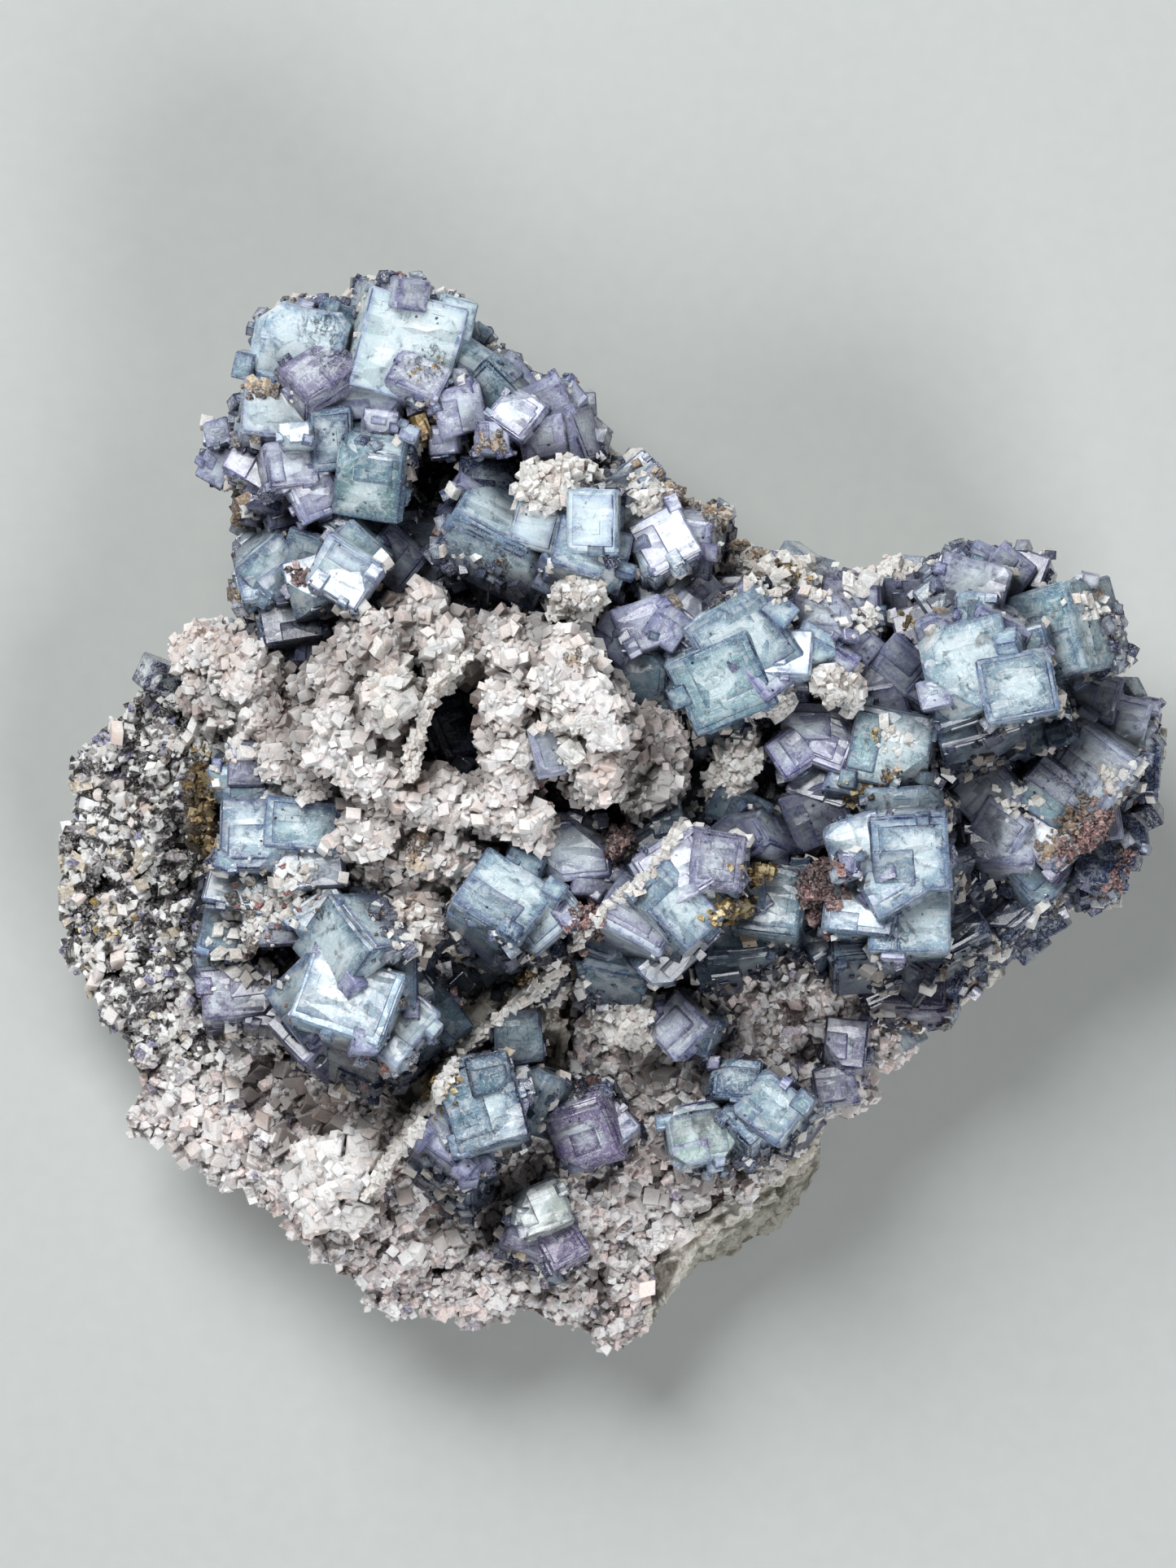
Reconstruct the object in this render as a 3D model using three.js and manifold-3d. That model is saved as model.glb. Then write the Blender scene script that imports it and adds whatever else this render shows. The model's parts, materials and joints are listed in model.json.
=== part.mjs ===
// A hand-sized fluorite specimen that lies on its rock back, with its crystals facing up.
// Millimetres, +Z up. X runs across the face of the specimen, Y up the face, Z out of the face.
import * as THREE from 'three';
import * as BufferGeometryUtils from 'three/addons/utils/BufferGeometryUtils.js';
import Module from 'manifold-3d';

const wasm = await Module();
wasm.setup();

// Driving dimensions
const GAP = 0.3;                  // clearance between pieces that touch
const SLAB_SIZE = 156;            // square of the surface grid, wider than the rock
const SLAB_CELLS = 17;            // cells of the surface grid along one side
const ROCK_BASE = 13;             // height of the rock surface away from the hills
const ROCK_ROUGHNESS = 1.6;       // height of the lumps on the rock surface
const WALL_STEPS = 3;             // levels in the height of the rock's side walls
const WALL_TOP = 46;              // height of the side walls before the surface cuts them
const CRUST_THICKNESS = 4.5;      // sugary crust over the rock
const LUMP_CLEARANCE = 1.5;       // a lump's flat faces lie nearer than its points, so it is grown more
const VEIN_WIDTH = 1.3;           // thin white blade that crosses the lower left
const VEIN_HEIGHT = 7;
const VEIN_STEPS = 3;
const FRAME_SHIFT = [-0.4, 0.1];  // brings the middle of the whole box to the origin

// Colours of the minerals
const ROCK = [0x97948a, 0.95, 0];
const BLUE = [0xa3b6cc, 0.25, 0];
const TEAL = [0x86b2bd, 0.2, 0];
const VIOLET = [0x8f87b4, 0.25, 0];
const PINK = [0xe6cfc8, 0.7, 0];
const WHITE = [0xdedad4, 0.75, 0];
const GOLD = [0x8d7436, 0.35, 0.9];
const RED = [0x5e2428, 0.6, 0];

// The outline of the rock, seen from above, runs clockwise from the top of the upper lobe.
const OUTLINE = [
  [-29, 63], [-22, 64], [-16, 60], [-11, 55.5], [-4, 52], [-1.5, 46.5], [3, 43.5], [10, 39], [16, 34],
  [22, 32.5], [30, 29], [37, 30], [43, 31], [52, 30], [59, 26], [61.5, 20], [66, 15], [69.2, 11],
  [69, 5], [67, 0], [64, -5], [60, -9], [55, -12.5], [49, -19], [41, -25], [34.5, -31], [31.5, -35],
  [28.2, -38], [27.4, -46], [22.7, -51], [16, -55.6], [11, -58], [7.8, -62.3], [1.6, -69.2], [-1, -67.8],
  [-6, -63.5], [-13, -63.5], [-19, -63], [-28, -60.5], [-32, -57.5], [-37, -52.5], [-42, -48.2],
  [-48, -45.5], [-55, -42.5], [-59.5, -39], [-60.5, -34], [-60, -28], [-64, -22.5], [-67.4, -16], [-68.8, -8],
  [-69, -4], [-67.5, 3], [-66, 8], [-62, 12], [-58, 18], [-51, 19.5], [-46, 25], [-46, 33], [-46, 40],
  [-48, 44], [-44.5, 52], [-43.5, 58], [-38, 62],
];

// Broad hills of the rock surface: x, y, radius and height over the base
const HILLS = [
  [-30, 48, 20, 19], [-10, 44, 16, 18], [0, 30, 18, 20], [-36, 26, 14, 15], [-26, 10, 18, 19],
  [-6, 12, 18, 21], [20, 17, 18, 21], [46, 20, 16, 21], [33, -5, 17, 20], [8, -8, 16, 20],
  [-14, -10, 16, 18], [-32, -20, 16, 16], [-42, -4, 15, 13], [-16, -36, 15, 12], [58, 2, 14, 10],
  [14, -32, 18, 11], [-52, -20, 18, 8], [-30, -45, 18, 9], [-4, -50, 14, 9], [-56, 6, 14, 8],
];

// Pits between the crystals: x, y, radius and depth
const PITS = [
  [-21, 41, 6, 8], [-20, -20, 5.5, 9], [-19, 11, 6, 6], [1, 28, 3, 6], [19.5, 11.5, 4, 5], [50, 7.5, 4, 4],
  [23, 4, 4, 4], [-31, 49, 3, 5], [46, -14, 4, 4], [-37, 22, 5, 3],
];

// Fluorite crystals. Each one gives x, y, the height of its middle over the rock surface, its width, length and
// depth, its turn in the plane of the face, and the angle and direction in which it leans, in degrees.
const CRYSTALS = {
  upper_lobe_fluorite: [
    [-37.4, 58.2, 4, 12, 11, 12, -12, 14, 200], [-35.7, 53.4, 6, 8.5, 6.5, 7, 38, 35, 90],
    [-26, 58.6, 5, 12.6, 12.8, 12, -14, 14, 330], [-20.9, 59.4, 3, 7.5, 7, 8, -38, 15, 60],
    [-23.6, 53.5, 7, 6.8, 5, 6, -25, 25, 80], [-24.2, 64.4, 2, 3.2, 3.2, 6, -25, 20, 250],
    [-41.3, 49, 6, 9, 7.4, 9, -4, 22, 70], [-39.8, 43.2, 8, 6.2, 5.8, 7, 8, 16, 40],
    [-36.8, 40.8, 5, 6.4, 6.4, 8, 24, 15, 300], [-29.2, 42.9, 6, 8.4, 9.2, 9, -8, 30, 255],
    [-18.6, 54.4, 4, 8.2, 8.4, 9, -32, 15, 20], [-14.2, 53.4, 6, 6.2, 6.4, 7, -45, 24, 230],
  ],
  long_block_fluorite: [
    [-13, 34, 7, 14.6, 9, 9, -27, 45, 63], [-1.8, 36.4, 8, 6.3, 8, 9, 0, 8, 180],
    [-3, 31.8, 6, 9.4, 7, 8, -14, 24, 60], [-22.6, 33.2, 4, 5.6, 8, 9, -8, 14, 250],
  ],
  left_ledge_fluorite: [
    [-32.2, 30.4, 8, 7.8, 7, 8, -30, 10, 200], [-30.8, 33.6, 6, 7.2, 5.6, 8, -44, 15, 250],
    [-26.4, 34.4, 3, 6, 6, 8, 6, 10, 90], [-39, 24.6, 2, 8.4, 7.6, 8, 10, 15, 90],
    [-40, 20.6, 1, 8, 7.4, 8, 22, 20, 70],
  ],
  ridge_fluorite: [
    [16.6, 22.6, 7, 10.8, 10.6, 10, 33, 12, 250], [14, 17.8, 6, 11, 10, 10, 24, 16, 250],
    [13.2, 13.4, 2, 6, 7, 9, 4, 30, 90], [4, 23.2, 7, 6.6, 6.2, 8, 22, 10, 90],
    [4, 17.8, 5, 7.6, 7.2, 9, -6, 12, 200], [9.6, 23.6, 6, 6, 6.2, 8, 52, 14, 100],
    [30.4, 25.4, 6, 6.8, 9, 9, 2, 10, 200], [26, 24.2, 6, 7.6, 6, 9, -5, 12, 90],
    [29, 21.8, 6, 7.4, 4.2, 8, -42, 15, 40],
  ],
  right_lobe_fluorite: [
    [42.4, 29.8, 5, 6.6, 5.6, 8, 38, 10, 270], [44.6, 27.8, 5, 9, 6.6, 9, -14, 14, 100],
    [45.8, 30.2, 2, 5.4, 5.4, 9, -24, 15, 60], [48.4, 29.6, 2, 5.4, 5.4, 9, -36, 15, 60],
    [51.8, 30, 2, 5, 4.4, 9, -22, 15, 120], [55, 22.8, 6, 12.2, 11.4, 12, 16, 30, 190],
    [49.7, 15.9, 11, 9.2, 8.2, 8, 11, 7, 100], [44, 18.2, 7, 11, 11.2, 10, 13, 8, 120],
    [45.4, 11.8, 5, 11, 8, 10, 16, 24, 110], [37.4, 15.6, 5, 5.4, 5, 8, -36, 18, 60],
    [38.4, 22, 4, 5.2, 8, 8, 15, 15, 150],
  ],
  plate_fluorite: [
    [34.8, 8.6, 9, 10, 9.4, 8, -12, 9, 170], [27, 4.4, 4, 8, 7.2, 8, -22, 18, 120],
    [22.4, 8, 7, 5.2, 5, 7, 35, 8, 100],
  ],
  far_right_fluorite: [
    [60, 6.2, 6, 9.4, 10, 10, -36, 16, 200], [64.6, 7.4, 3, 5.4, 9, 9, -5, 15, 30],
    [55, 3.2, 5, 8.4, 4.8, 8, -36, 24, 240], [55.2, -2.2, 4, 7.4, 7.4, 9, -50, 15, 140],
    [47.6, 3.8, 4, 8.2, 7.4, 9, 42, 20, 200], [50.6, -6.8, 3, 9.4, 5, 9, -50, 20, 40],
    [49, -12.2, 3, 7.6, 5.8, 8, 42, 20, 100], [59.8, -4.8, 2, 6.4, 8.4, 9, -5, 15, 40],
  ],
  middle_fluorite: [
    [-5, -4.4, 7, 9.4, 7.8, 8, 6, 10, 90], [-1.6, -6.8, 6, 7.4, 7, 8, -6, 12, 40],
    [-13.6, -11, 7, 10, 9, 9, -34, 26, 70], [-8.8, -11.4, 7, 8.2, 8.2, 8, 42, 10, 90],
    [7.2, -11.2, 8, 10, 6.4, 9, -46, 18, 40],
  ],
  front_fluorite: [
    [17.6, -2.8, 7, 7.2, 7, 8, 35, 38, 160], [13, -5.4, 9, 6.6, 7, 8, -8, 6, 90],
    [8.4, -7, 6, 8.2, 8.2, 9, 32, 14, 120], [19.8, -10.8, 6, 8.6, 9, 10, -9, 15, 100],
  ],
  left_shelf_fluorite: [
    [-45, 6.2, 6, 4.4, 5.8, 8, 0, 10, 90], [-46, 3.8, 5, 7.2, 4.8, 8, 3, 10, 90],
    [-43.8, -2.4, 6, 8, 8.6, 9, -2, 8, 100], [-38.2, -1.4, 6, 9.6, 6.4, 9, -5, 12, 60],
    [-37.2, -5.4, 5, 8.8, 9, 9, 6, 15, 100], [-40.4, -11.4, 4, 8.4, 8.2, 9, 0, 10, 180],
  ],
  pointed_fluorite: [
    [-31.2, -15.6, 8, 9.8, 9.8, 9, 46, 42, 185], [-32, -23, 7, 12, 10, 10, -20, 18, 100],
    [-27.2, -26, 7, 9.2, 9, 9, -40, 24, 80], [-23.2, -26.2, 5, 8.4, 8, 9, 36, 26, 60],
    [-30.2, -10, 3, 6.6, 5.4, 8, 0, 14, 270],
  ],
  lower_shelf_fluorite: [
    [-45.6, -22.2, 3, 10, 6.4, 8, 5, 14, 90],
  ],
  lower_blue_fluorite: [
    [-15.6, -36, 6, 9.2, 10.4, 10, 17, 10, 100], [-19, -40.2, 5, 9.2, 8.2, 9, -37, 24, 60],
    [-11.4, -27.4, 4, 5.8, 6.6, 9, 5, 10, 90],
  ],
  purple_fluorite: [
    [-2.8, -37.8, 5, 8.2, 8.6, 8, 20, 24, 255],
  ],
  milky_centre_fluorite: [
    [9, -25.5, 5, 6.4, 6.4, 8, 45, 14, 180],
  ],
  lower_pair_fluorite: [
    [11.2, -39.4, 4, 8.4, 7.6, 8, 10, 8, 90], [15.6, -32.8, 3, 6, 5, 8, -5, 14, 90],
    [20.5, -35.8, 6, 7.4, 6.8, 8, -38, 14, 150],
  ],
  lilac_fluorite: [
    [29.5, -28.3, 3, 5.2, 6.2, 7, -6, 12, 120],
  ],
  deep_purple_fluorite: [
    [37, -21.6, 2, 9.2, 5.8, 9, -3, 20, 90],
  ],
  grey_green_fluorite: [
    [-8.4, -48.8, 3, 6.6, 6, 7, 22, 14, 90],
  ],
  hollow_fluorite: [
    [-19, 10.8, 1, 8, 8.4, 8, 20, 20, 60],
  ],
  window_fluorite: [
    [-7.8, 8.8, 6, 5.4, 6.4, 12, 15, 10, 0],
  ],
  upper_rim_fluorite: [
    [-5.2, 51.4, 3, 3.8, 3.8, 7, 42, 12, 90], [-5.2, 46.6, 3, 6, 7, 8, 22, 24, 200],
  ],
  left_tip_fluorite: [
    [-47.6, 47.2, 3, 3.6, 3.4, 7, 15, 20, 150], [-47.6, 44.3, 2, 4.2, 5.2, 7, -28, 20, 200],
  ],
  violet_block_fluorite: [
    [9.6, 34.2, 6, 8, 7.6, 9, -6, 18, 220],
  ],
  small_block_fluorite: [
    [3.6, 41.6, 1, 4.6, 4.4, 8, 42, 15, 90],
  ],
  apron_fluorite: [
    [36.8, -3.2, 7, 9.6, 9.6, 10, 3, 14, 260], [31, -11.2, 6, 8.8, 7.4, 9, -5, 14, 120],
    [31.6, -16, 4, 9.2, 7, 9, 5, 36, 90], [36.6, -12.6, 7, 10.2, 9, 9, 0, 10, 90],
    [37.4, -16.6, 4, 8.4, 7.4, 9, -35, 30, 60], [41.4, -14, 4, 9.2, 8.4, 9, 28, 24, 110],
  ],
  layered_fluorite: [
    [0.6, -18.2, 6, 8.4, 7.2, 9, -14, 32, 76],
  ],
};

// Sugary lumps. Each one gives x, y, the height of its middle over the rock surface, and its three half sizes.
const LUMPS = {
  dolomite_arch: [
    [-33, 10.6, 5, 4.6, 5.2, 9], [-33.2, 16.4, 5, 4.2, 4.6, 9], [-28.8, 21, 6, 4.8, 4.4, 10],
    [-24, 24.6, 6, 4.8, 4.2, 9], [-27.2, 15, 8, 3, 5.6, 9], [-29, 5.4, 5, 5, 4.2, 8], [-19, 21, 8, 5, 3.4, 9],
    [-12, 20.6, 7, 4.6, 4.2, 10], [-5.4, 18.4, 8, 4.6, 4.6, 10], [-1.4, 12.8, 8, 4, 4.6, 10],
    [-12.4, 13.4, 8, 3, 5.6, 9], [-12.2, 7, 6, 3.2, 3.8, 9], [-1.6, 6.6, 7, 4.2, 4.6, 9], [4.8, 9.6, 6, 4.6, 4.2, 6],
    [5.2, 4.2, 6, 4.6, 4, 6], [-23, 2.2, 6, 6.4, 3.4, 8], [-13.6, 2.2, 7, 5.6, 3.4, 8], [-9.4, -0.6, 6, 3.6, 3, 7],
    [-30, -1, 5, 5, 4.4, 8], [-27.4, -5.8, 4, 4.8, 4, 7], [-19.6, -5, 4, 5.4, 4, 7],
    [-23.8, -11.6, 4.4, 3.8, 4.6, 6],
  ],
  pink_dolomite: [
    [-49, 20.4, 5, 4.4, 4, 6], [-45, 18.4, 6, 5, 4.6, 7], [-48, 15.6, 4, 4.6, 4.6, 6], [-42, 12.8, 4, 5, 5.2, 7],
    [-39.6, 7.6, 4, 5.4, 5.6, 7], [-37, 3.8, 4, 4.8, 4.2, 6],
  ],
  dolomite_tuft_1: [[-7.6, 40.6, 7, 4.2, 3.6, 5], [-4.4, 41.4, 5, 3.2, 3.2, 5]],
  dolomite_tuft_2: [[21.8, 29.6, 5, 3.8, 3.4, 6], [17.6, 31.2, 3, 2.4, 2.2, 5]],
  dolomite_tuft_3: [[27.8, 16.6, 8, 3.4, 3.2, 5]],
  dolomite_tuft_4: [[3.0, -24.2, 4, 5.2, 3.6, 6]],
  pyrite_1: [[-50.6, 4, 3, 2.8, 3.6, 4.5], [-50.2, -0.8, 3, 2.6, 3.8, 4.5]],
  pyrite_2: [[-23.2, 48, 4, 2.2, 2.6, 5]],
  pyrite_3: [[-20.8, -32.4, 4, 3.4, 2.2, 5]],
  red_patch_1: [[25.4, -8.8, 5, 3.4, 4.4, 6]],
  red_patch_2: [[-2.6, -12.4, 8, 2.8, 2.8, 6]],
  red_patch_3: [[58.8, -1.0, 6, 2.8, 3.0, 6]],
};

// The biggest rhombs, at the lower left: x, y, height, edge, turn, lean and its direction
const RHOMBS = [
  [-35.4, -42.0, 4, 5.0, 12, 20, 250], [-37.2, -45.4, 3, 4.6, 30, 25, 200], [-33.0, -44.4, 4, 4.6, -8, 20, 300],
  [-35.6, -48.2, 3, 5.0, 20, 20, 260], [-32.4, -49.0, 2, 4.2, -25, 20, 300], [-30.6, -41.2, 3, 4.2, 8, 15, 90],
];

// The three lengths of the white blade, as points along the crest: x, y and height over the rock surface
const VEINS = {
  white_vein_1: [[-6.4, -18.2, 5], [-9.4, -21, 4.4], [-12, -23.2, 4]],
  white_vein_2: [[-15.4, -26, 4], [-18.2, -28.4, 4], [-20.4, -31.6, 4]],
  white_vein_3: [[-22.4, -34.8, 5], [-25, -39, 3.6], [-27.4, -42.4, 2.8], [-30.2, -47, 2]],
};

// The area of the crust, seen from above, reaches past the rock on its outer side.
const CRUST_AREA = [
  [-80, 19], [-57, 18], [-49, 13], [-49.5, 0], [-51, -17], [-42, -23], [-40, -31], [-30, -32], [-24, -38],
  [-17, -38], [-10, -38], [-5, -32], [-5, -23], [11, -19], [24, -17.5], [33, -19], [38, -24], [34, -33],
  [26, -37], [22, -42], [11, -49.5], [5, -54], [3.5, -63], [0, -75], [-45, -75], [-80, -40],
];

// A smooth repeatable lumpiness between -1 and 1
function lumpiness(x, y, z) {
  const slow = Math.sin(x * 0.31 + 1.7) * Math.cos(y * 0.27 - 0.6) + Math.sin((x - y) * 0.19 + z * 0.23);
  const quick = Math.sin(x * 0.83 + y * 0.37 + z * 0.51) * Math.cos(y * 0.71 - x * 0.29 + z * 0.43);
  return (slow + quick) / 3;
}

// Height of the rock surface, where the hills join in one smooth relief
function rockHeight(x, y) {
  let sum = 0;
  for (const [hillX, hillY, radius, height] of HILLS) {
    const distance = Math.hypot(x - hillX, y - hillY) / radius;
    sum += (height * Math.exp(-distance * distance)) ** 3;
  }
  let pits = 0;
  for (const [pitX, pitY, radius, depth] of PITS) {
    const distance = Math.hypot(x - pitX, y - pitY) / radius;
    pits += depth * Math.exp(-distance * distance);
  }
  return ROCK_BASE + Math.cbrt(sum) - pits;
}

// Turns a closed three.js geometry into a solid
function solidOf(geometry) {
  const bare = geometry.clone();
  bare.deleteAttribute('normal');
  bare.deleteAttribute('uv');
  const merged = BufferGeometryUtils.mergeVertices(bare, 1e-4);
  return new wasm.Manifold(new wasm.Mesh({
    numProp: 3,
    vertProperties: Float32Array.from(merged.attributes.position.array),
    triVerts: Uint32Array.from(merged.index.array),
  }));
}

function joined(solids) {
  return solids.reduce((whole, solid) => whole.add(solid));
}

// Keeps the biggest of the bodies that a cut leaves
function biggestBody(solid) {
  const bodies = solid.decompose();
  bodies.sort((one, other) => other.volume() - one.volume());
  return bodies[0];
}

// Moves each point of a geometry by a rule that takes and gives x, y, z
function reshaped(geometry, rule) {
  const position = geometry.attributes.position;
  for (let i = 0; i < position.count; i += 1) {
    position.setXYZ(i, ...rule(position.getX(i), position.getY(i), position.getZ(i)));
  }
  return geometry;
}

// The turn of a crystal in the plane of the face, followed by its lean towards a direction
function crystalPose(x, y, z, turn, lean, toward) {
  const rad = THREE.MathUtils.degToRad;
  const aim = rad(toward + 90);
  const pose = new THREE.Matrix4().makeTranslation(x, y, z);
  pose.multiply(new THREE.Matrix4().makeRotationZ(aim));
  pose.multiply(new THREE.Matrix4().makeRotationX(rad(lean)));
  pose.multiply(new THREE.Matrix4().makeRotationZ(rad(turn) - aim));
  return pose;
}

// One fluorite crystal, grown on all sides by the given amount
function fluoriteCube([x, y, above, width, length, depth, turn, lean, toward], grow) {
  const box = new THREE.BoxGeometry(width + 2 * grow, length + 2 * grow, depth + 2 * grow);
  const z = rockHeight(x, y) + above;
  return solidOf(box.applyMatrix4(crystalPose(x, y, z, turn, lean, toward)));
}

// One rhomb of dolomite: a cube sheared to its slanting faces
function dolomiteRhomb([x, y, above, edge, turn, lean, toward], grow) {
  const side = edge + 2 * grow;
  const box = new THREE.BoxGeometry(side, side, side);
  reshaped(box, (px, py, pz) => [px + 0.25 * py, py + 0.2 * pz, pz]);
  const z = rockHeight(x, y) + above;
  return solidOf(box.applyMatrix4(crystalPose(x, y, z, turn, lean, toward)));
}

// One sugary lump: a rough ball with flat faces
function sugaryLump([x, y, above, halfX, halfY, halfZ], grow) {
  const ball = new THREE.IcosahedronGeometry(1);
  const z = rockHeight(x, y) + above;
  reshaped(ball, (px, py, pz) => {
    const size = 1 + 0.16 * lumpiness((px * halfX + x) * 2.2, (py * halfY + y) * 2.2, pz * 5);
    const reach = grow * LUMP_CLEARANCE;
    return [
      x + px * (halfX * size + reach),
      y + py * (halfY * size + reach),
      z + pz * (halfZ * size + reach),
    ];
  });
  return solidOf(ball);
}

// One length of the white blade: a thin strip that follows its path
function whiteVein(route, grow) {
  const points = route.map(([x, y, above]) => new THREE.Vector3(x, y, rockHeight(x, y) + above));
  const path = new THREE.CatmullRomCurve3(points);
  const section = new THREE.Shape();
  const halfWidth = VEIN_WIDTH / 2 + grow;
  const halfHeight = VEIN_HEIGHT / 2 + grow;
  section.moveTo(-halfHeight, -halfWidth);
  section.lineTo(halfHeight, -halfWidth);
  section.lineTo(halfHeight, halfWidth);
  section.lineTo(-halfHeight, halfWidth);
  section.closePath();
  return solidOf(new THREE.ExtrudeGeometry(section, { steps: VEIN_STEPS, extrudePath: path, bevelEnabled: false }));
}

// The straight-walled outline of the rock, pulled in at its base and on its broken lower right side
function rockWalls() {
  const shape = new THREE.Shape(OUTLINE.map(([x, y]) => new THREE.Vector2(x, y)));
  const walls = new THREE.ExtrudeGeometry(shape, { depth: WALL_TOP, steps: WALL_STEPS, bevelEnabled: false });
  return solidOf(reshaped(walls, (x, y, z) => {
    const level = z / WALL_TOP;
    const brokenSide = Math.exp(-(((x - 18) / 22) ** 2) - (((y + 52) / 16) ** 2));
    const undercut = 0.16 * (1 - Math.min(1, level * 2.5)) ** 2 * (1 - brokenSide);
    const slope = 0.3 * brokenSide * level;
    const ledge = 0.02 * lumpiness(x * 3, y * 3, z * 9) * (level > 0 ? 1 : 0.3);
    const scale = 1 - undercut - slope + ledge;
    return [x * scale, y * scale, z];
  }));
}

// Everything below the rock surface, lowered by a given amount
function underSurface(lower) {
  const slab = new THREE.BoxGeometry(SLAB_SIZE, SLAB_SIZE, 2, SLAB_CELLS, SLAB_CELLS, 1);
  return solidOf(reshaped(slab, (x, y, z) => {
    if (z < 0) {
      return [x, y, -5];
    }
    const top = rockHeight(x, y) + ROCK_ROUGHNESS * lumpiness(x * 1.6, y * 1.6, 0);
    return [x, y, top - lower];
  }));
}

// Moves each side of a closed outline outwards by a distance
function widened(points, distance) {
  return points.map((point, i) => {
    const before = points[(i + points.length - 1) % points.length];
    const after = points[(i + 1) % points.length];
    const along = point.clone().sub(before).normalize();
    const onward = after.clone().sub(point).normalize();
    const corner = along.clone().add(onward).normalize();
    const outward = new THREE.Vector2(-corner.y, corner.x);
    const reach = distance / Math.max(0.5, corner.dot(onward));
    return point.clone().addScaledVector(outward, reach);
  });
}

// A tall prism over the area of the crust
function crustArea(grow) {
  const corners = CRUST_AREA.map(([x, y]) => new THREE.Vector2(x, y));
  const shape = new THREE.Shape(widened(corners, grow));
  const prism = new THREE.ExtrudeGeometry(shape, { depth: 90, bevelEnabled: false });
  return solidOf(prism.translate(0, 0, -20));
}

// Each piece has a plain solid and one that is grown by the gap, which its neighbours are cut by.
const pieces = [];
const ground = underSurface(-GAP);

function addPiece(name, make, finish) {
  let solid = make(0).subtract(ground);
  for (const earlier of pieces) {
    solid = solid.subtract(earlier.grown);
  }
  pieces.push({ name, solid: biggestBody(solid), grown: make(GAP), finish });
}

const TEAL_CLUSTERS = [
  'right_lobe_fluorite', 'plate_fluorite', 'apron_fluorite', 'layered_fluorite', 'lower_blue_fluorite',
  'lower_pair_fluorite',
];
const VIOLET_CLUSTERS = ['purple_fluorite', 'lilac_fluorite', 'deep_purple_fluorite', 'milky_centre_fluorite'];

for (const [name, crystals] of Object.entries(CRYSTALS)) {
  let finish = BLUE;
  if (TEAL_CLUSTERS.includes(name)) {
    finish = TEAL;
  } else if (VIOLET_CLUSTERS.includes(name)) {
    finish = VIOLET;
  }
  addPiece(name, (grow) => joined(crystals.map((crystal) => fluoriteCube(crystal, grow))), finish);
}

for (const [name, lumps] of Object.entries(LUMPS)) {
  let finish = WHITE;
  if (name.startsWith('pyrite')) {
    finish = GOLD;
  } else if (name.startsWith('red')) {
    finish = RED;
  } else if (name === 'pink_dolomite' || name === 'dolomite_arch') {
    finish = PINK;
  }
  addPiece(name, (grow) => joined(lumps.map((lump) => sugaryLump(lump, grow))), finish);
}

addPiece('rhomb_cluster', (grow) => joined(RHOMBS.map((rhomb) => dolomiteRhomb(rhomb, grow))), PINK);
for (const [name, route] of Object.entries(VEINS)) {
  addPiece(name, (grow) => whiteVein(route, grow), WHITE);
}

// The crust is the top layer of the rock over its own area, and the rock is what lies under it.
const rock = rockWalls().intersect(underSurface(0));
const crust = rock.intersect(crustArea(0)).subtract(underSurface(CRUST_THICKNESS));
const crustRoom = crustArea(GAP).subtract(underSurface(CRUST_THICKNESS + GAP));
pieces.push({ name: 'dolomite_crust', solid: biggestBody(crust), finish: WHITE });
pieces.push({ name: 'matrix_rock', solid: biggestBody(rock.subtract(crustRoom)), finish: ROCK });

// Gives a solid back as a mesh with its own material
function meshOf({ name, solid, finish }) {
  const { vertProperties, triVerts } = solid.getMesh();
  const geometry = new THREE.BufferGeometry();
  geometry.setAttribute('position', new THREE.BufferAttribute(Float32Array.from(vertProperties), 3));
  geometry.setIndex(new THREE.BufferAttribute(Uint32Array.from(triVerts), 1));
  geometry.computeVertexNormals();
  const [color, roughness, metalness] = finish;
  const mesh = new THREE.Mesh(geometry, new THREE.MeshStandardMaterial({ color, roughness, metalness }));
  mesh.name = name;
  return mesh;
}

const group = new THREE.Group();
for (const piece of pieces) {
  group.add(meshOf(piece));
}
group.position.set(FRAME_SHIFT[0], FRAME_SHIFT[1], 0);

export default group;
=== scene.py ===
# %% [markdown]
# # A fluorite specimen, lying on its back
#
# The real object is a hand-sized slab of rock. Its upper face carries milky blue and violet fluorite cubes,
# sugary pinkish-white dolomite, a little pyrite and a thin white blade. The lesson makes each mineral in
# turn: first the shapes, then the finishes, and last the floor, the light and the camera.

# %% Load the fixed frame
import json
import math
import random

import bmesh
import bpy
import numpy as np
from mathutils import Euler, Matrix, Vector, noise
from mathutils.bvhtree import BVHTree

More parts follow.
